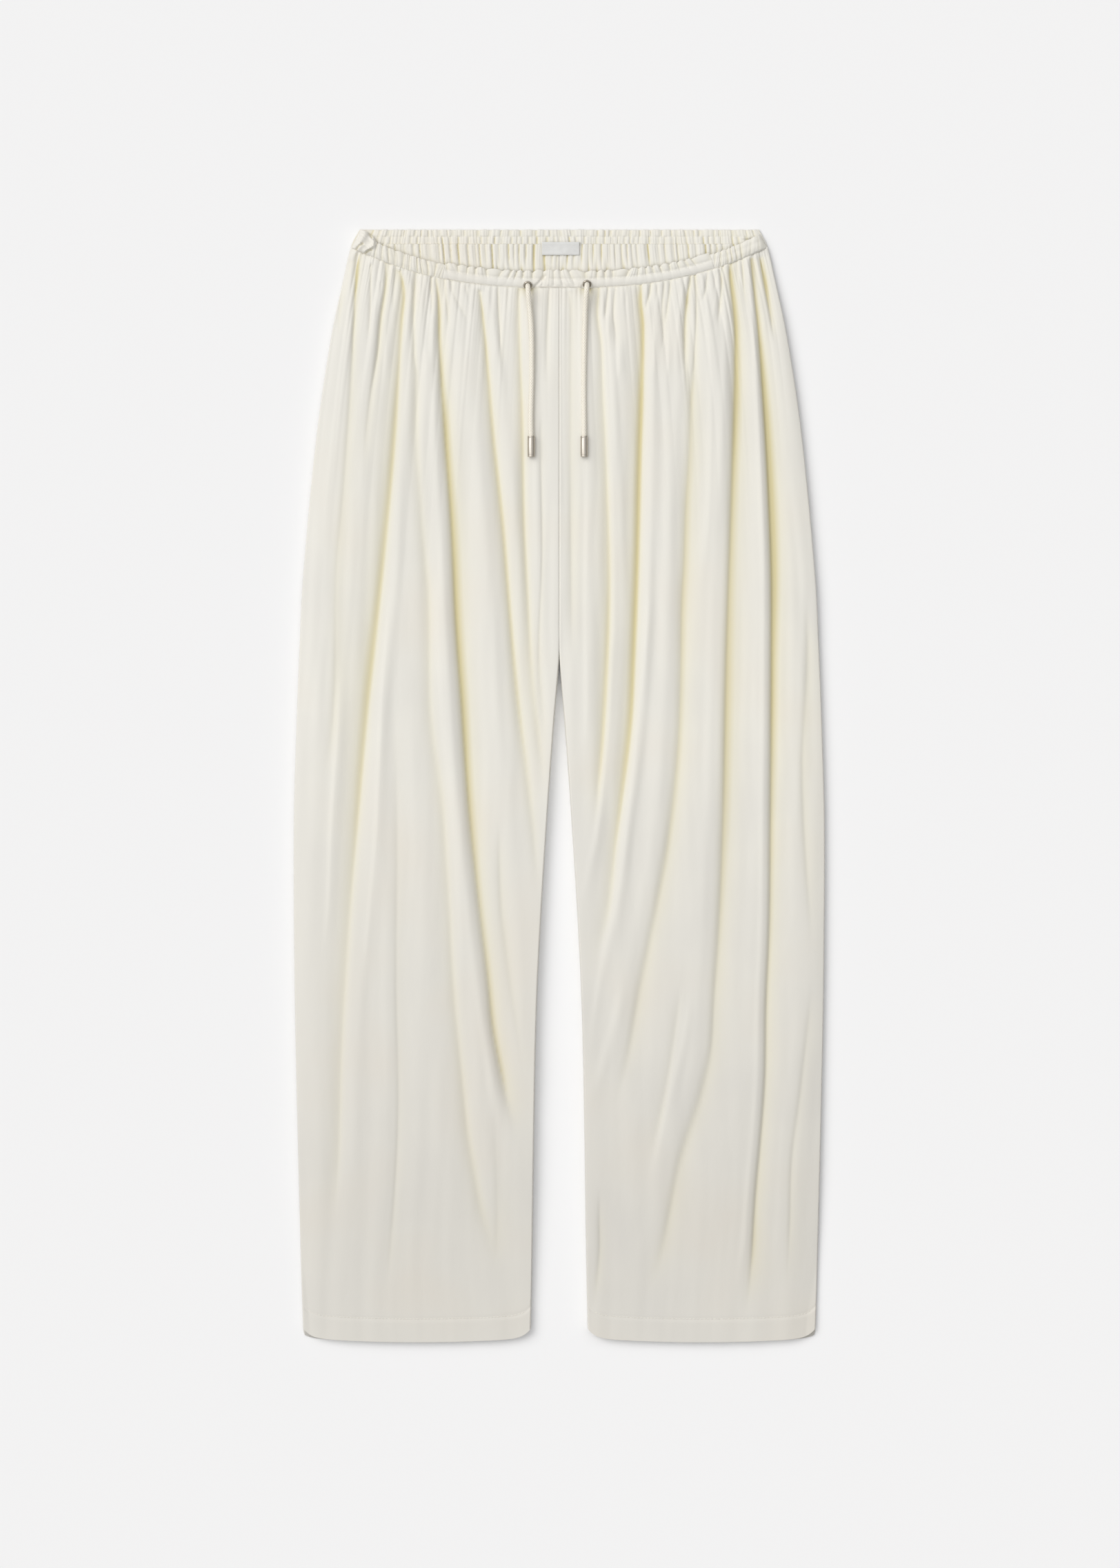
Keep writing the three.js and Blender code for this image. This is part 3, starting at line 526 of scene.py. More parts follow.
creasesLeft = [
    [(58, 9, 1.5, 4), (75, 11, 2, 5), (143, 11, 2, 6), (232, 11, 2, 7), (367, 12, 1.8, 8),
     (430, 12, 0, 8)],
    [(85, 18, 0, 4), (110, 19, -0.8, 5), (220, 27, -1, 6), (356, 26, -1.1, 6), (467, 27, -1, 6),
     (530, 22, 0, 6)],
    ([(50, 38, 3.5, 2.5), (79, 36, 4, 3), (109, 40, 3.5, 4), (148, 41, 3.5, 5), (208, 43.5, 4, 6),
      (316, 47, 5, 6.5), (380, 46, 6, 6.5), (467, 42, 6, 6), (517, 38, 5, 5.5), (554, 34, 3, 5),
      (585, 22, 0, 5)], 0.35),
    [(350, 52, 0, 4), (400, 49, -1, 4), (480, 44, -1.2, 4), (567, 36, -1.2, 4), (604, 28, -1, 4),
     (660, 18, 0, 4)],
    ([(47, 77, 5, 3), (68, 77, 6.5, 4), (92, 79, 7.5, 4.5), (148, 78, 8, 5.5), (208, 76, 8, 6),
      (328, 73, 8, 6.5), (405, 70, 8, 6.5), (467, 67, 7.5, 6.5), (542, 58, 6.5, 6), (579, 53, 5.5, 6),
      (642, 46, 4, 6), (679, 36, 2.5, 5.5), (715, 26, 0, 5)], 0.4),
    [(340, 84, 0, 4.5), (368, 83, -1, 4.5), (455, 75, -1.2, 4.5), (549, 65, -1.3, 4.5),
     (629, 55, -1.3, 4.5), (704, 39, -1.2, 4.5), (760, 31, -1, 4.5), (785, 22, 0, 4.5)],
    [(715, 60, 0, 5), (731, 56, -1, 5), (764, 47, -1.2, 5), (794, 38, -1, 5), (835, 24, 0, 5)],
    [(41, 124, 4.5, 2.5), (75, 119, 5.5, 3), (114, 118, 4.5, 4), (150, 120, 2, 5), (190, 122, 0, 6)],
    [(42, 127.5, 2, 2), (75, 129, 3, 2.5), (130, 127, 3, 4), (160, 124, 4, 7), (208, 123, 4.5, 9),
     (256, 120, 5, 9), (316, 118, 5, 9), (352, 116, 5, 9), (420, 115, 4.5, 9), (492, 112, 4.5, 9),
     (567, 104, 5, 8.5), (642, 91, 5.5, 8.5), (716, 76, 5, 8.5), (780, 64, 4, 8), (845, 48, 0, 8)],
    ([(715, 115, 0, 4), (742, 111, 2, 4.5), (809, 101, 3, 5), (842, 94, 3, 5), (894, 78, 0, 5)], 0.3),
    [(725, 124, 0, 4.5), (760, 118, -1, 4.5), (820, 103, -1.2, 4.5), (865, 94, -1.1, 4.5),
     (935, 77, 0, 4.5)],
    [(29, 161, 5, 3), (44, 161, 7, 4), (75, 164.5, 8, 5), (95, 166, 8.5, 5.5), (142, 166, 8.5, 6),
     (208, 164, 8, 7), (304, 161, 7, 8), (405, 158, 7, 9), (554, 155, 7, 9), (654, 151, 6.5, 9),
     (729, 146, 6, 9), (775, 143, 6, 9), (820, 132, 6, 9), (876, 114, 5.5, 9), (921, 105, 5, 9),
     (955, 98, 4, 9), (988, 87, 2.5, 9), (1018, 71, 0, 9)],
    ([(27, 180, 4.5, 2.5), (55, 183, 6, 3.5), (91, 187, 7.5, 4), (142, 191, 9, 5), (220, 196, 9.5, 6),
      (316, 200, 9.5, 6.5), (405, 200, 8, 6.5), (554, 199, 7, 6.5), (654, 198, 7.5, 6.5),
      (729, 195, 8, 6.5), (798, 194, 8, 6.5), (854, 190, 8, 6.5), (910, 185, 8, 6.5),
      (988, 180, 7, 6.5), (1026, 174, 5, 6)], -0.6),
    [(25, 189, 4.5, 2.5), (55, 194, 5, 3), (83, 199, 4, 3.5), (99, 201.5, 2, 4), (118, 206, 0, 4)],
    [(350, 232, 0, 6), (400, 234, 1.5, 7), (505, 229, 2, 7), (604, 233, 2, 7), (704, 241, 0, 6)],
    [(905, 38, 0, 5), (930, 38, 2.5, 5.5), (966, 38, 3, 5.5), (1022, 31, 1, 5)],
    [(715, 238, 0, 6), (760, 233, 2, 6), (820, 226, 3, 6), (876, 219, 3, 6), (943, 217, 2.8, 6),
     (1015, 213, 1, 6)],
    [(45, 138, 0, 4), (79, 140, -1, 5), (142, 144, -1.6, 7), (232, 143, -1.8, 8), (292, 140, -1.6, 8),
     (350, 136, 0, 8)],
    [(49, 9, 1.5, 2), (58, 9, 0, 2)],
    [(53, 46, 2.3, 1.8), (75, 44, 2, 2), (90, 42, 0, 2.5)],
    [(52, 53, 2.3, 1.8), (81, 51, 2, 2.3), (98, 53, 1.5, 3), (125, 53, 0, 3.5)],
    [(50, 64, 1.4, 2), (80, 62, 0, 2.5)],
    [(48, 86.5, 3.5, 2), (61, 84.5, 3.2, 2.2), (82, 79.5, 0, 2.5)],
    [(52, 93, 1.4, 2), (73, 90, 0, 2.5)],
    [(50, 99, 2.3, 2.5), (75, 97, 2.3, 3), (102, 98, 1.5, 3.5), (125, 95, 0, 4)],
    [(47, 105, 2.2, 2), (79, 101, 1.8, 2.2), (96, 98, 0, 2.5)],
    [(37, 140, 2, 1.6), (62, 136.5, 1.8, 2), (72, 132, 0, 2)],
    [(39, 148, 1.4, 1.5), (62, 145, 0, 1.6)],
    [(34, 153, 3.5, 2.2), (64, 152, 3.2, 2.4), (79, 150, 2, 2.5), (100, 150, 0, 2.5)],
    [(28, 167, 1.5, 1.5), (52, 168, 0, 1.5)],
    [(27, 172, 2.6, 1.8), (59, 174, 2, 2), (84, 179, 0, 2.4)],
    [(100, 56, 0, 3), (125, 56.5, -0.8, 3.5), (150, 57, 0, 4)],
    [(76, 45, 0, 2.5), (92, 45.5, -0.7, 3), (108, 46, 0, 3)],
    [(75, 90, 0, 3), (110, 90, -0.9, 3.5), (150, 90, 0, 4)],
    [(90, 103, 0, 3), (120, 103, -0.8, 3.5), (150, 103, 0, 4)],
]
creaseForm = dict(
    width=0.95, spread=0.9, depth=0.76, low=0.64, lowBetween=(430, 800), cusp=0.05, fall=1.5, lean=-0.42,
    ending=0.34, longest=80,
)
creaseLip = dict(share=0.10, away=3.2, width=1.2)   # the cloth swells beside a trough
crown = [   # wave length across, height in mm, length of its drift down the leg
    (27, 0.42, 95), (15.5, 0.22, 61), (9.2, 0.10, 43),
]
eyeletGap = dict(middle=-1.7, half=22, soft=4)     # the stretch between the eyelets
waistHalf = 203     # half the width near the waist, where the lines that fan down the leg start
puffs = dict(       # pitch in mm and seed of each set of gathers, and how uneven some of them are
    leg=(8.5, 5), legFine=(4.1, 6), back=(6.4, 4), backFine=(3.1, 19), backLong=(11, 17), ruffle=(8.7, 31),
    frill=(9.3, 22, 0.3), tunnel=(5.1, 9), side=(5.6, 11, 0.5), sideFine=(2.9, 23),
)
streakSets = [("leg", 1.7, 80), ("legFine", 0.9, 36)]   # gathers, height, and length of their fading
hemTop = garmentLength - hem["depth"]


def sideAt(down):
    return curveThrough(outline, 1, down)


def inseamAt(down):
    return np.maximum(curveThrough(outline, 2, down), 0.06)


def scoopDown(x):
    # The lower edge of the front band: a power of the distance from the centre line
    return scoop["down"] - scoop["rise"] * (np.abs(x) / scoop["reach"]) ** scoop["power"]


def belowCrotch(down):
    return smooth(down, leg["turnFrom"], leg["turnTo"])


def aboveCrotch(down):
    return smooth(leg["crotch"] - down, 0, 30)


def betweenEyelets(x):
    # 1 from one eyelet to the other, and 0 beyond them
    return smooth(eyeletGap["half"] - np.abs(x - eyeletGap["middle"]), 0, eyeletGap["soft"])


def gathers(x, pitch, seed, vary=0.6):
    # Round puffs side by side, each of its own width and height, with sharp valleys between them
    chance = np.random.default_rng(seed)
    count = int(500 / pitch)
    places = np.cumsum(pitch * chance.uniform(1 - vary, 1 + vary, count)) - 250
    peaks, valleys = chance.uniform(1 - 0.5 * vary, 1, count), chance.uniform(0, 0.7 * vary, count)
    k = np.clip(np.searchsorted(places, x) - 1, 0, count - 2)
    t = (x - places[k]) / (places[k + 1] - places[k])
    base = mix(valleys[k], valleys[k + 1], t)
    return base + np.maximum(peaks[k] - base, 0.1) * (1 - np.abs(2 * t - 1) ** 2.3)


def creased(x, down, creases):
    # Troughs and ridges: each follows a line down the leg, whose place, depth and width are smooth
    # curves. A trough falls to its line as e to the power of minus the distance, so it is sharp
    # along the line and the cloth between two troughs is rounded. It is steep on one side.
    sink, swell = np.zeros(np.shape(x)), np.zeros(np.shape(x))
    form, cusp = creaseForm, creaseForm["cusp"]
    low = mix(1, form["low"], smooth(down, *form["lowBetween"]))
    for crease in creases:
        rows, lean = crease if isinstance(crease, tuple) else (crease, form["lean"])
        first, last = rows[0][0], rows[-1][0]
        ending = smooth(last - down, 0, min(form["ending"] * (last - first), form["longest"]))
        depth = curveThrough(rows, 2, down) * ending * (down >= first) * low
        width = curveThrough(rows, 3, down) * form["width"] * (1 + form["spread"] * (1 - ending))
        off = (x - curveThrough(rows, 1, down)) / width
        off = np.abs(off / np.where(off > 0, 1 - lean, 1 + lean))
        trough = np.exp(-form["fall"] * (np.sqrt(off ** 2 + cusp) - np.sqrt(cusp)))
        sink += form["depth"] * np.maximum(depth, 0) * trough
        swell += np.maximum(-depth, 0) * bell(off, 1)
        swell += creaseLip["share"] * np.maximum(depth, 0) * bell(off - creaseLip["away"], creaseLip["width"])
    return sink, swell


def streaks(x, down):
    # Fine gathers that fan out from the waist and fade down the leg, fewer under the smooth tunnel
    fan = x * waistHalf / sideAt(down) + 2.5 * np.sin(down / 90 + x / 50)
    below = down - scoopDown(x)
    waves = sum(
        height * (gathers(fan, *puffs[name]) - 0.75) * np.exp(-below / fade)
        for name, height, fade in streakSets)
    return mix(0.6, 1.2, smooth(np.abs(x), 90, 125)) * waves


def unevenness(x, down):
    # Long low waves that fan out from the waist, so that no stretch of cloth is quite smooth
    fan = x * waistHalf / sideAt(down)
    waves = 0
    for length, height, drift in crown:
        phase = fan * 2 * np.pi / length + 1.6 * np.sin(down / drift + x / 60) + length
        strong = 0.55 + 0.45 * np.sin(down / drift / 1.7 + fan / 31 + length)
        fading = mix(1, length / 40, smooth(down, 350, 700))
        waves = waves + height * fading * np.sin(phase) * strong
    return waves


def eyeletPull(x, below):
    near = np.minimum(*[np.abs(x - place[0]) for place in eyelets.values()])
    return bell(near, 7) * bell(below, 7)


def frontHeight(x, down, creases):
    # Height of the outer front cloth. Where troughs pull it down it sinks toward the back panel by
    # an exponential law, so it never reaches it. Returns the height and the share it has sunk,
    # which is less along the low side edge.
    below = down - scoopDown(x)
    top = mix(leg["waist"], leg["body"], smooth(below, 0, leg["waistReach"]))
    top = mix(top, leg["hem"], smooth(down, garmentLength - leg["hemReach"], garmentLength))
    sink, swell = creased(x, down, creases)
    top = top + swell + unevenness(x, down) * smooth(below, 10, 80) + streaks(x, down)
    top = top - leg["slope"] * np.exp(-(sideAt(down) - np.abs(x)) / leg["slopeReach"])
    sink = sink * mix(0.75, 1, smooth(below, -2, 12))
    sink = sink + seam["centreDip"] * bell(x, seam["centreWidth"]) * aboveCrotch(down)
    dip = seam["dip"] * (1 - 0.6 * betweenEyelets(x))
    sink = sink + dip * np.exp(-np.maximum(below, 0) / seam["reach"]) + 4 * eyeletPull(x, below)
    room = np.maximum(top - leg["lowest"], 0.4)
    share = 1 - np.exp(-np.maximum(sink, 0) / room)
    return leg["lowest"] + room * (1 - share), share * smooth(room, 0.5, 3)


def hemAcross(x):
    # -1 at the inseam and 1 at the side edge, along the line of the hem
    low, high = inseamAt(hemTop), sideAt(hemTop)
    return 2 * (x - low) / (high - low) - 1


def hemPlace(across):
    # How far down the leg ends: a little less toward both sides, with round corners
    return garmentLength - hem["bow"] * across ** 2 - hem["corner"] * np.abs(across) ** hem["cornerPower"]


legGrid = dict(   # the top rows, over the length of the gathers, are closer together
    columns=295, turnSide=12, turnInseam=12, gathers=90, gatherRows=44, bodyRows=96, hemRows=20, aboveHem=4,
)
# Painted shade of a fold, darker and warmer, from how far the fold has sunk
paintedFoldShade = dict(gain=2.1, sharpHigh=1.6, sharpLow=1.25, between=(60, 190), faded=0.7, fadedBetween=(430, 850))


def makeFront(side, creases):
    # One front leg: columns spread from the inseam to the side seam, rows from the band to the hem.
    # Its side edge turns down to the back panel in a quarter circle, and so does its inseam edge
    # below the crotch.
    roll, foot, inner, outer = leg["roll"], leg["foot"], legGrid["turnInseam"], legGrid["turnSide"]
    body = legGrid["columns"] - inner - outer
    across = np.concatenate([np.zeros(inner), np.linspace(0, 1, body), np.ones(outer)])
    inseamTurn, sideTurn = turnAtEnd(body + outer, inner)[::-1], turnAtEnd(inner + body, outer)

    def xAt(down, depth=0):
        # Places at a depth inside the outer face
        x = mix(inseamAt(down) + roll, sideAt(down) - roll, across) + (roll - depth) * np.sin(sideTurn)
        return x - (roll - depth * belowCrotch(down)) * np.sin(inseamTurn)

    topDown = np.full(across.shape, scoop["down"])
    for _ in range(3):
        topDown = scoopDown(xAt(topDown))
    start = topDown - leg["overBand"]
    end = hemPlace(hemAcross(xAt(np.full(across.shape, hemTop))))
    hemLine = end - hem["depth"]
    bodyStart, bodyEnd = start + legGrid["gathers"], hemLine - legGrid["aboveHem"]
    gatherRows, bodyRows = (
        np.linspace(0, 1, legGrid[part], endpoint=False)[:, None] for part in ("gatherRows", "bodyRows"))
    hemRows = np.append(np.linspace(0, 0.97, legGrid["hemRows"] - 2), [0.99, 1])[:, None]
    down = np.concatenate([
        start + gatherRows * legGrid["gathers"],
        mix(bodyStart, bodyEnd, bodyRows),
        mix(bodyEnd, end, hemRows),
    ])
    x = side * xAt(down)
    height, share = frontHeight(x, down, creases)
    pastHem = down - hemLine
    height = height + hem["extra"] * smooth(pastHem, 0.5, 3) - hem["groove"] * bell(pastHem, 1.1)
    height = height + seam["fellRaise"] * (bell(x - seam["fell"], seam["fellWidth"]) * aboveCrotch(down))
    fall = np.cos(sideTurn) * mix(1, np.cos(inseamTurn), belowCrotch(down))
    wall = mix(leg["wall"], hem["wall"], smooth(pastHem, -1, 1))
    outer, inner = (
        np.stack([side * xAt(down, depth), waistY - down, foot + (height - depth - foot) * fall], -1)
        for depth in (0, wall))
    # Painted shade: darker and warmer where the fold has sunk, none on the turned-down edge
    sharp = mix(paintedFoldShade["sharpHigh"], paintedFoldShade["sharpLow"], smooth(down, *paintedFoldShade["between"]))
    paintedShade = np.clip(paintedFoldShade["gain"] * share ** sharp, 0, 1) * np.cos(sideTurn)
    paintedShade = paintedShade * mix(1, paintedFoldShade["faded"], smooth(down, *paintedFoldShade["fadedBetween"]))
    piece = closedShell(sided("frontCloth", side), outer, inner, ivory, paintedShade)
    return rideRoot(piece, "cloth", sided("front_leg", side))


fronts = [makeFront(-1, creasesRight), makeFront(1, creasesLeft)]
print("fronts made")


# Back panels: flat underneath, gathered on top below the back band
back = dict(
    top=1.5, bandTall=15, underBand=1.2, gatherRaise=2.1, gatherEnd=75, gatherSoft=55, frillReach=15,
    openRaise=1.2, openDeeper=0.6, columns=300, turnColumns=10, rows=68, shown=90, cornersFrom=500,
    nick=[(-13.5, 488.2), (-7, 486.6), (-1, 487.4)], nickDepth=1.1,
)
label = dict(left=-16.3, right=18.9, middle=1.3, half=17.6, thick=1, rows=40, columns=70)


def makeBack(side):
    # One back leg, with columns and rows as in the fronts. In the waist opening its gathers are
    # deeper, except under the label, and one short fold crosses them.
    body, turning = back["columns"] - back["turnColumns"], back["turnColumns"]
    across = np.append(np.linspace(0, 1, body), np.ones(turning))
    turn = turnAtEnd(body, turning)
    topDown = back["bandTall"] - back["underBand"]
    length = garmentLength - topDown
    shownRows = back["rows"] * 2 // 3
    reach = steps(0, back["shown"], length, shownRows, back["rows"] - shownRows)[:, None]
    corners = hemPlace(np.linspace(-1, 1, back["columns"])) - garmentLength
    down = topDown + reach + corners * smooth(reach, back["cornersFrom"], length)
    low, high, roll = inseamAt(down), sideAt(down), back["top"]
    x = mix(low, high - roll, across) + roll * np.sin(turn)
    clear = smooth(high - x, 12, 30) * mix(0.8, 1, smooth(x, 0, 1.5))
    below = down - topDown
    fade = smooth(back["gatherEnd"] - below, 0, back["gatherSoft"])
    bending = x * side + 3 * np.sin(down / 31 + x / 40)
    wave = 0.75 * gathers(bending, *puffs["back"]) + 0.25 * gathers(bending, *puffs["backFine"])
    wave = mix(wave, gathers(bending, *puffs["backLong"]), smooth(below, 8, 34))
    opening = smooth(scoopDown(x) - back["frillReach"] - down, -3, 5)
    deeper = 1 + back["openDeeper"] * opening * smooth(np.abs(side * x - label["middle"]), 17, 24)
    raised = back["gatherRaise"] * deeper * wave * fade + back["openRaise"] * opening
    fold = nearLine(side * x, waistY - down, back["nick"])
    height = (back["top"] + raised * clear - back["nickDepth"] * bell(fold, 1)) * np.cos(turn) + 0.02
    outer = np.stack([side * x, waistY - down, height], -1)
    inner = np.stack([side * np.minimum(x, high - 0.2), waistY - down, np.zeros_like(x)], -1)
    # Painted shade in the valleys of the gathers
    paintedShade = np.clip(3.2 * (1 - wave) ** 3, 0, 1) * clear * fade
    piece = closedShell(sided("backCloth", side), outer, inner, ivory, paintedShade)
    return rideRoot(piece, "cloth", sided("back_leg", side))


backs = [makeBack(-1), makeBack(1)]
print("backs made")


# Bands: sections from the lower edge toward the waist
frontSection = [   # across, top, under, share of a gather
    (-0.9, 5.8, 4.1, 0), (0, 6.7, 4.0, 0.05), (1.2, 7.6, 3.8, 0.1), (3.8, 8.3, 3.6, 0.15),
    (6.2, 8.1, 3.7, 0.25), (8.0, 7.3, 3.9, 0.5), (10.4, 7.9, 4.6, 1), (13.4, 7.9, 5.4, 1),
    (15.5, 7.2, 5.4, 0.9),
]
sideSection = [   # the same columns
    (-0.9, 5.6, 4.1, 0), (0, 6.9, 4.0, 0.6), (1.4, 7.6, 3.8, 1), (4, 8.2, 3.6, 1),
    (7.5, 8.0, 3.6, 1), (10.5, 8.0, 3.9, 1), (13.5, 7.0, 4.6, 0.8),
]
backSection = [   # across, top, share of a gather
    (-1.2, 2.2, 0.3), (0, 2.6, 1), (1.2, 3.9, 1), (4, 4.4, 1), (7, 4.2, 1), (8, 3.9, 1), (9, 4.2, 1),
    (12.5, 4.0, 1), (14.4, 3.4, 1), (15, 2.4, 0.6),
]
band = dict(
    rightEnd=-110, leftEnd=146, end=195.5, turn=8, settleFrom=181, settleTo=190, gap=0.04, drop=0.4,
    seamReach=2,
)
climb = dict(start=146, end=166, height=0.5)


def bandPlace(x, across):
    # A place a distance across the front band, square to its lower edge
    slope = scoopDown(x - 0.5) - scoopDown(x + 0.5)
    long = np.hypot(1, slope)
    return x - slope / long * across, waistY - scoopDown(x) + seamGap + across / long


eyelet = dict(
    outer=4.2, inner=2.8, barrel=3.1, thick=1.2, depth=2.6, tilt=np.pi / 6, seatReach=5.2, bank=1.2, pit=2.4)


def seated(x, y, height, under):
    # The cloth lies under each eyelet's tilted seat, and goes down into a pit where the cord enters
    for placeX, placeY, placeZ in eyelets.values():
        seat = placeZ - 0.05 + (y - placeY) * np.tan(eyelet["tilt"])
        away = np.maximum(np.abs(x - placeX) - eyelet["seatReach"], 0)
        height = np.minimum(height, seat + eyelet["bank"] * away)
        apart = np.hypot(x - placeX, (y - placeY) / np.cos(eyelet["tilt"]))
        height = height - eyelet["pit"] * (1 - smooth(apart, eyelet["inner"] - 0.3, eyelet["barrel"] + 0.5))
    return np.maximum(height, under + 0.3)


pinch = dict(line=[(-23.5, 469), (-19, 473.5), (-13.6, 479.5)], depth=1.5, width=1.5)


def slant(x):
    # How far a gather leans along the band for each step across it
    return 0.22 * np.sin(x / 17 + 1) + 0.16 * np.sin(x / 6.3)


def frontBandForm(x, across):
    # Places and height of the outer cloth a distance across the band, and the painted shade between its
    # folds.
    # Between the eyelets the tunnel is puckered too.
    frill = smooth(across, 7, 10)
    lobes = gathers(x + slant(x) * across, *puffs["frill"])
    small = gathers(x + 1.6 * slant(x) * across, *puffs["tunnel"])
    between = betweenEyelets(x)
    middle = 1 - 0.35 * between
    wave = 1.9 * (lobes - 0.75) + 0.6 * (small - 0.7)
    place = across + frill * (1.2 * wave + 1.2 * between) * smooth(across, 9, 15.5)
    px, py = bandPlace(x + 0 * place, place)
    puckers = 0.75 * between * smooth(across, 0.5, 3)
    share = np.maximum(curveThrough(frontSection, 3, across) * middle, puckers)
    top = curveThrough(frontSection, 1, across) + share * wave
    top = top - pinch["depth"] * bell(nearLine(px, py, pinch["line"]), pinch["width"])
    return px, py, top, np.clip(frill * (1 - lobes) * 0.5 * middle, 0, 1)


def seamNear(away):
    # The front and side bands come to one height, drawn down a little, at the seam between them
    return np.exp(-away / band["seamReach"])


bandColumns = dict(front=560, back=720)


def makeFrontBand():
    # The drawcord tunnel with a frill of uneven lobes above it
    right, left, halfGap = band["rightEnd"], band["leftEnd"], band["gap"] / 2
    x = np.linspace(right + halfGap, left - halfGap, bandColumns["front"])[:, None]
    across = steps(frontSection[0][0], 8.2, frontSection[-1][0], 24, 19)[None]
    px, py, top, paintedShade = frontBandForm(x, across)
    under = curveThrough(frontSection, 2, across) + 0 * x
    near = seamNear(x - right) + seamNear(left - x)
    top = mix(top, curveThrough(sideSection, 1, across) - band["drop"] * near, near)
    top = seated(px, py, np.maximum(top, under + 0.6), under)
    piece = layer("frontBandCloth", px, py, top, np.minimum(under, top - 0.3), ivory, paintedShade)
    return rideRoot(piece, "cloth", "waistband_front")


# The corner on the wearer's right is turned over: a puffy lobe between two creases, and the frill
# beside it curls like a rope over a dark pocket. Each row is a line of places (x, y), a height,
# below 0 for a crease, and half a width.
corner = [
    ([(-183, 520), (-186, 515.5), (-189.5, 509.5)], 2.8, 4),
    ([(-186.5, 506.5), (-184, 504.5)], 1.6, 2.6),
    ([(-180, 523.5), (-178.4, 519.5), (-176.4, 516)], -3.6, 1.0),
    ([(-185, 510), (-188.2, 507.8), (-191.5, 504.1), (-194.5, 500.5)], -2.2, 1.0),
    ([(-183.5, 500), (-179.8, 503), (-177, 504.5)], -2.6, 1.1),
    ([(-176.2, 516), (-173.9, 512.1), (-174.9, 508.1), (-178.1, 505.4), (-182.3, 502.6)], 2.8, 1.9),
]
cornerTwist = dict(turn=3.4, share=0.06)
cornerReach = dict(extra=5.2, between=(175, 187), round=4, fall=2.4, start=(166, 172))


def cornerForm(x, y):
    # The change of height that the corner makes, with the twist of its rope, and the painted shade along its
    # creases
    rope = 1 + cornerTwist["share"] * np.sin((x + y) * 2 * np.pi / cornerTwist["turn"])
    change, dark = 0, 0
    for line, height, width in corner:
        near = bell(nearLine(x, y, line), width)
        change = change + height * near * rope
        dark = dark + near * (height < 0)
    return change, np.clip(0.6 * dark, 0, 1)


sideBand = dict(rows=40, columns=230, turnColumns=22, plainFrom=(172, 182), lean=0.12)


def makeSideBand(side, start, twisted):
    # An elastic band from the front band to the corner, where it turns down to the back panel
    low, high = sideSection[0][0], sideSection[-1][0]
    columns, turning = sideBand["columns"], sideBand["turnColumns"]
    flatEnd, foot = band["end"] - band["turn"], leg["foot"]
    run = np.append(np.linspace(start, flatEnd, columns), np.full(turning, flatEnd))[:, None]
    turn = turnAtEnd(columns, turning)[:, None]
    x = run + band["turn"] * np.sin(turn)
    reach = high + (cornerReach["extra"] * smooth(x, *cornerReach["between"]) if twisted else 0)
    across = mix(low, reach, np.linspace(0, 1, sideBand["rows"])[None])
    lean = side * (slant(x * side) - sideBand["lean"]) * across
    puff = gathers(x * side + lean, *puffs["side"])
    fine = gathers(x * side + 1.4 * lean, *puffs["sideFine"])
    edge = 1 - (1 if twisted else 0.5) * smooth(x, *sideBand["plainFrom"])
    place = across + smooth(across, 8, high) * (1.2 * (puff - 0.75) + 0.5 * (fine - 0.7)) * edge
    px, py = bandPlace(x + 0 * place, place)
    lift = climb["height"] * smooth(x, climb["start"], climb["end"])
    share = curveThrough(sideSection, 3, across) * (1 - seamNear(x - start))
    wave = 1.3 * (puff - 0.7) + 0.5 * (fine - 0.6)
    top = curveThrough(sideSection, 1, across) + lift + share * edge * wave
    top = top - band["drop"] * seamNear(x - start)
    # Painted shade between the puffs, and in the corner's creases
    paintedShade = np.clip((1 - puff) * 0.6 * edge * share, 0, 1)
    if twisted:
        change, dark = cornerForm(side * px, py)
        near = smooth(x, *cornerReach["start"])
        past = smooth(across, reach - cornerReach["round"], reach) * (reach > high + 0.1)
        top = top + near * change - cornerReach["fall"] * past
        paintedShade = np.maximum(paintedShade, near * dark)
    top = np.maximum(foot + (top - foot) * np.cos(turn), foot + 0.9)
    settle = smooth(x, band["settleFrom"], band["settleTo"])
    under = np.minimum(mix(curveThrough(sideSection, 2, across) + lift, foot, settle), top - 0.6)
    piece = layer(sided("sideBandCloth", side), side * px, py, top, under, ivory, paintedShade)
    return rideRoot(piece, "cloth", sided("waistband_side", side))


backBandShape = dict(half=188, spread=(166, 180), further=10)   # its ruffle goes further on the left


def backBandForm(x, across):
    # Places, height and painted shade in the valleys, as for the front band. Toward its ends it follows the
    # side edge.
    puff = gathers(x + 0.2 * slant(x) * across, *puffs["back"])
    fine = gathers(x + 0.4 * slant(x + 5) * across, *puffs["backFine"])
    ruffle = gathers(x + 0.4 * slant(x + 9) * across, *puffs["ruffle"])
    further = backBandShape["further"] * smooth(across, 5, 9) * (x > 0)
    spread = 1 - smooth(np.abs(x), *(place + further for place in backBandShape["spread"]))
    wave = mix(0.7 * puff + 0.3 * fine, 0.7 * ruffle + 0.3 * fine, smooth(across, 7, 9.5))
    reach = across + 1.1 * (wave - 0.85) * smooth(across, 10, 15) * spread
    half = backBandShape["half"]
    px = x + np.sign(x) * (sideAt(back["bandTall"] - reach) - half) * (x / half) ** 8
    share = curveThrough(backSection, 2, across)
    top = curveThrough(backSection, 1, across) + share * 2.2 * (wave - 0.75)
    top = mix(back["top"], np.maximum(top, back["top"]), spread)
    return px, waistY - back["bandTall"] + reach, top, np.clip(1.4 * (1 - wave) ** 2.2 * share, 0, 1)


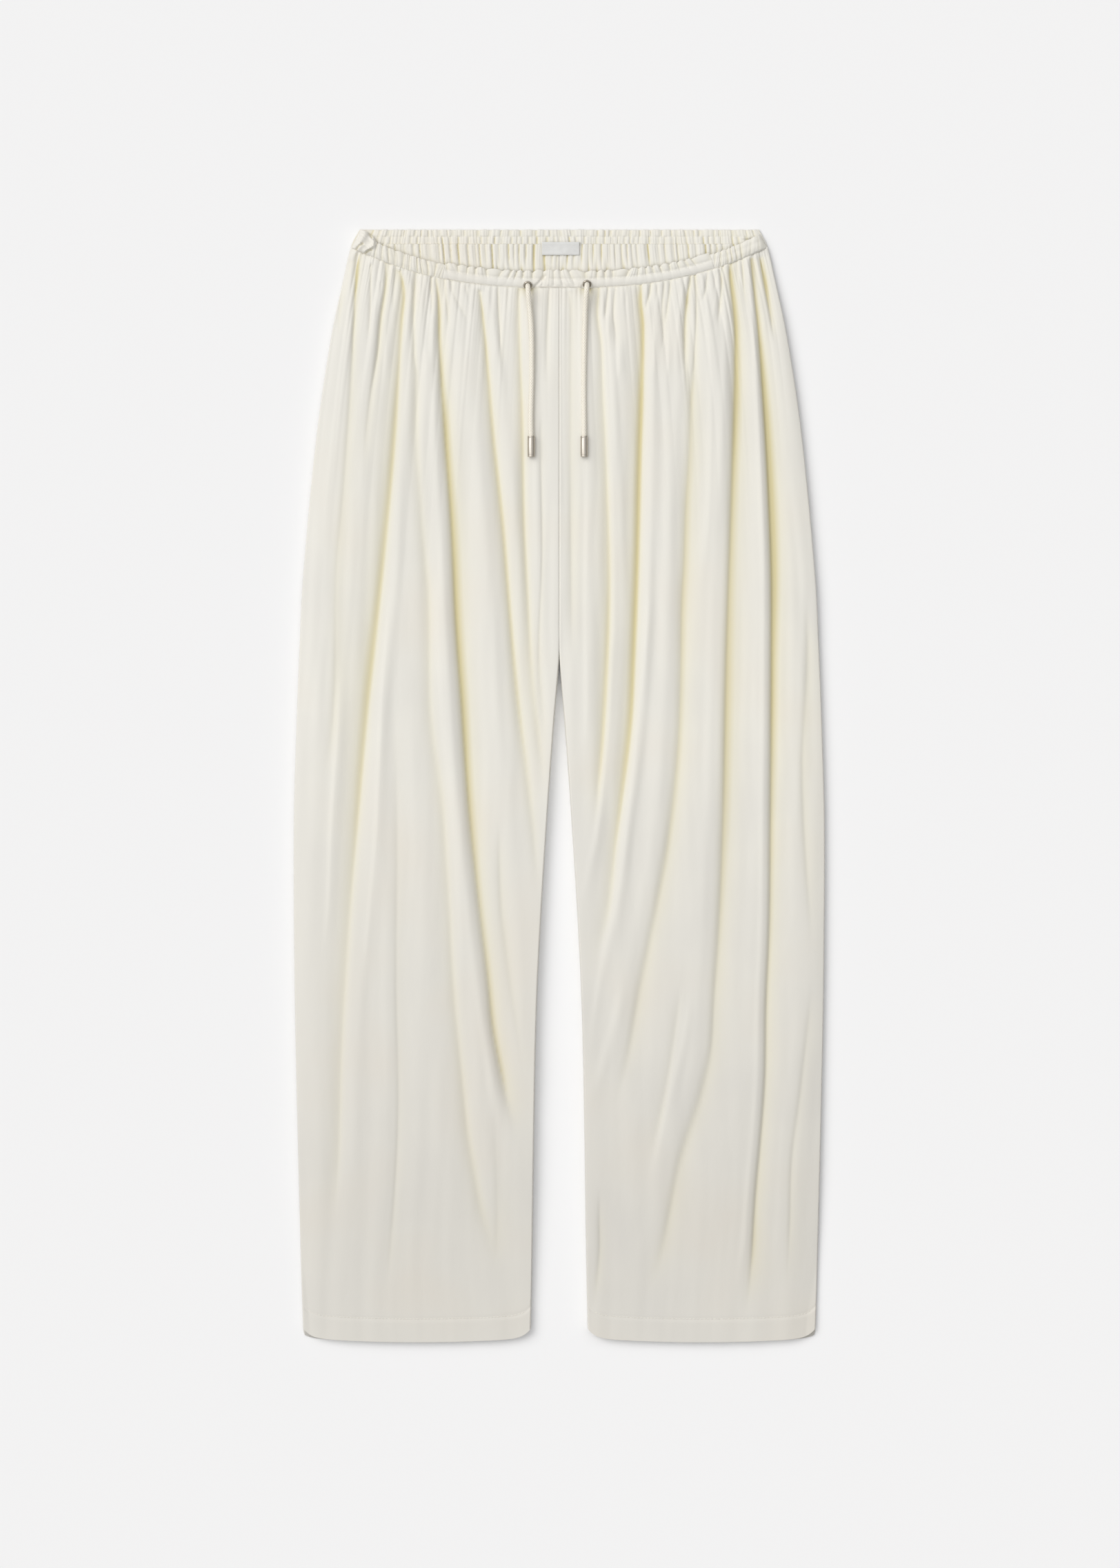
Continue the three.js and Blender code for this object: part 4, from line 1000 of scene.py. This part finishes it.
def makeBackBand():
    # An elastic channel with a ruffle above it: uneven gathers run through both, flat underneath
    x = np.linspace(-backBandShape["half"], backBandShape["half"], bandColumns["back"])[:, None]
    across = steps(backSection[0][0], 8, backSection[-1][0], 19, 15)[None]
    px, py, top, paintedShade = backBandForm(x, across)
    return rideRoot(layer("backBandCloth", px, py, top, 0 * px, ivory, paintedShade), "cloth", "waistband_back")


frontBand = makeFrontBand()
sideBands = [
    makeSideBand(1, band["leftEnd"] + band["gap"] / 2, False),
    makeSideBand(-1, -band["rightEnd"] + band["gap"] / 2, True),
]
backBand = makeBackBand()
print("bands made")


# The label: a folded strip of satin caught in the stitching of the back band, and bare
labelRise = [   # y, height of the underside
    (499.6, 4.7), (503, 4.6), (506.2, 4.7), (508.4, 5.0), (509.8, 5.3), (511.9, 5.4),
]


def makeLabel():
    y = np.linspace(labelRise[0][0], labelRise[-1][0], label["rows"])[:, None]
    x = np.linspace(label["left"], label["right"], label["columns"])[None]
    arch = 0.25 * (1 - ((x - label["middle"]) / label["half"]) ** 2) * bell(y - 503, 5)
    under = curveThrough(labelRise, 1, y) + arch + 0.1 * np.sin(x / 5) * bell(y - 505, 4)
    fold = bell(y - y[0], 0.7)
    top, under = under + label["thick"] * (1 - 0.45 * fold), under + label["thick"] * 0.35 * fold
    piece = rideRoot(layer("labelTape", x, y, top, under, satin), "label", "label")


makeLabel()


# Eyelets: a rolled flange over the tunnel and a barrel into it
def makeEyelet(name, place):
    inner, outer, barrel, rise, depth, tilt = (
        eyelet[part] for part in ("inner", "outer", "barrel", "thick", "depth", "tilt"))
    middle, half = (inner + outer) / 2, (outer - inner) / 2
    turn = np.radians(np.linspace(-35, 215, 22))
    flange = list(zip(middle + half * np.cos(turn), seamGap + rise * 0.35 + rise * 0.75 * np.sin(turn)))
    profile = [
        (barrel, -depth), (barrel, 0), (outer - 0.5, seamGap * 0.6), *flange, (inner, 0), (inner, -depth),
    ]
    rings = turned(profile, place, (0, -np.sin(tilt), np.cos(tilt)), (1, 0, 0), 72)
    faces = gridFaces(np.arange(rings.size // 3).reshape(rings.shape[:2]), 1, 1)
    # The ring is in the darker nickel, painted shade
    piece = makeMesh(name.replace("eyelet_", "eyeletRing_"), rings.reshape(-1, 3), faces, shadedNickel)
    rideRoot(piece, "metal", name)


for name, place in eyelets.items():
    makeEyelet(name, place)
print("label and eyelets made")


# Stitches: short rounded lengths of thread, lying along a line of places
stitch = dict(length=2.6, step=3.3, radius=0.22, sides=6, rings=5)


def makeStitches(name, line, sunk):
    # Every stitch is the same small capsule, turned along the line: a ring's radius is that of a
    # half circle near both ends and full between them
    line, at = evenly(line, 0.3)
    centres = np.arange(stitch["step"] / 2, at[-1], stitch["step"])
    spots = np.stack([np.interp(centres, at, line[:, k]) for k in range(3)], 1)
    spots[:, 2] -= sunk
    ahead = np.stack([np.interp(centres, at, np.gradient(line[:, k], at)) for k in range(3)], 1)
    ahead, right, up = squareTo(ahead, (0, 0, 1))
    along = np.linspace(-1, 1, stitch["rings"])[:, None]
    size = stitch["radius"] * np.sqrt(np.clip(1.04 - along ** 4, 0, 1))
    angle = roundAngles(stitch["sides"])
    points = spots[:, None, None] + (along * stitch["length"] / 2)[..., None] * ahead[:, None, None]
    points = points + (size * np.cos(angle))[..., None] * right[:, None, None]
    points = points + (size * np.sin(angle))[..., None] * up[:, None, None]
    numbers = np.arange(len(spots)) * stitch["rings"] * stitch["sides"]
    faces = tubeFaces(stitch["rings"], stitch["sides"])[None] + numbers[:, None, None]
    rideRoot(makeMesh(name, points.reshape(-1, 3), faces.reshape(-1, 4), thread), "cloth")


hemStitches = dict(widthAt=1020, inseam=7, side=6, count=120)


def hemLineAt(side, creases):
    low, high = inseamAt(hemStitches["widthAt"]), sideAt(hemStitches["widthAt"])
    x = np.linspace(low + hemStitches["inseam"], high - hemStitches["side"], hemStitches["count"])
    down = hemPlace(hemAcross(x)) - hem["depth"]
    height = frontHeight(x * side, down, creases)[0]
    return np.stack([x * side, waistY - down, height - hem["groove"] + 0.3], 1)


def bandLine(form, start, end, across):
    x = np.linspace(start, end, 500)
    return np.stack(form(x, across + 0 * x)[:3], 1)


makeStitches("hemStitches_right", hemLineAt(-1, creasesRight), 0.05)
makeStitches("hemStitches_left", hemLineAt(1, creasesLeft), 0.05)
makeStitches("bandStitches_back", bandLine(backBandForm, -160, 160, 0.9), 0)
makeStitches("bandStitches_front", bandLine(frontBandForm, -108, 144, 7.9), 0)
print("stitches made")


# Floor, light and world
studio = dict(
    floor=(0.905, 0.905, 0.91), floorHalf=4000, horizon=0.05, zenith=0.9, tilt=0.35, sun=1.12, sunAngle=42,
    sunColour=(1, 0.985, 0.96), lightFrom=(-0.63, 0.38, 0.67),   # from the upper left
)


def addFloor():
    half = studio["floorHalf"] * mm
    corners = [(x * half, y * half, floorZ * mm) for x, y in ((-1, -1), (1, -1), (1, 1), (-1, 1))]
    mesh = bpy.data.meshes.new("floor")
    mesh.from_pydata(corners, [], [(0, 1, 2, 3)])
    paper = {"Roughness": 0.9, "Specular IOR Level": 0.1}
    mesh.materials.append(newMaterial("paper", studio["floor"], paper)[0])
    floor = bpy.data.objects.new("floor", mesh)
    collection.objects.link(floor)


def addSun():
    data = bpy.data.lights.new("softSun", "SUN")
    data.energy, data.angle, data.color = studio["sun"], np.radians(studio["sunAngle"]), studio["sunColour"]
    lamp = bpy.data.objects.new("softSun", data)
    lamp.rotation_euler = Vector(studio["lightFrom"]).to_track_quat("Z", "Y").to_euler()
    collection.objects.link(lamp)


def addWorld():
    # A studio dome: dark at the horizon, bright overhead, and brighter toward the light
    world = bpy.data.worlds.new("studio")
    world.use_nodes = True
    tree = world.node_tree
    toward = addNode(tree, "ShaderNodeTexCoord").outputs["Generated"]
    split = addNode(tree, "ShaderNodeSeparateXYZ", {"Vector": toward})
    low, high = (studio["horizon"],) * 3, (studio["zenith"],) * 3
    dome = colourRamp(tree, split.outputs["Z"], (0, low), (0.2, low), (0.6, high), (1, high))
    facing = addNode(
        tree, "ShaderNodeVectorMath", {0: toward, 1: studio["lightFrom"]}, operation="DOT_PRODUCT")
    gain = addNode(tree, "ShaderNodeMapRange", {
        "Value": facing.outputs["Value"], "From Min": 0, "To Min": 1 - studio["tilt"],
        "To Max": 1 + studio["tilt"],
    }, clamp=False)
    feed(tree, tree.nodes["Background"], {"Color": dome, "Strength": gain.outputs["Result"]})
    scene.world = world


addFloor()
addWorld()
addSun()
scene.view_settings.view_transform = "Standard"
print("studio ready")
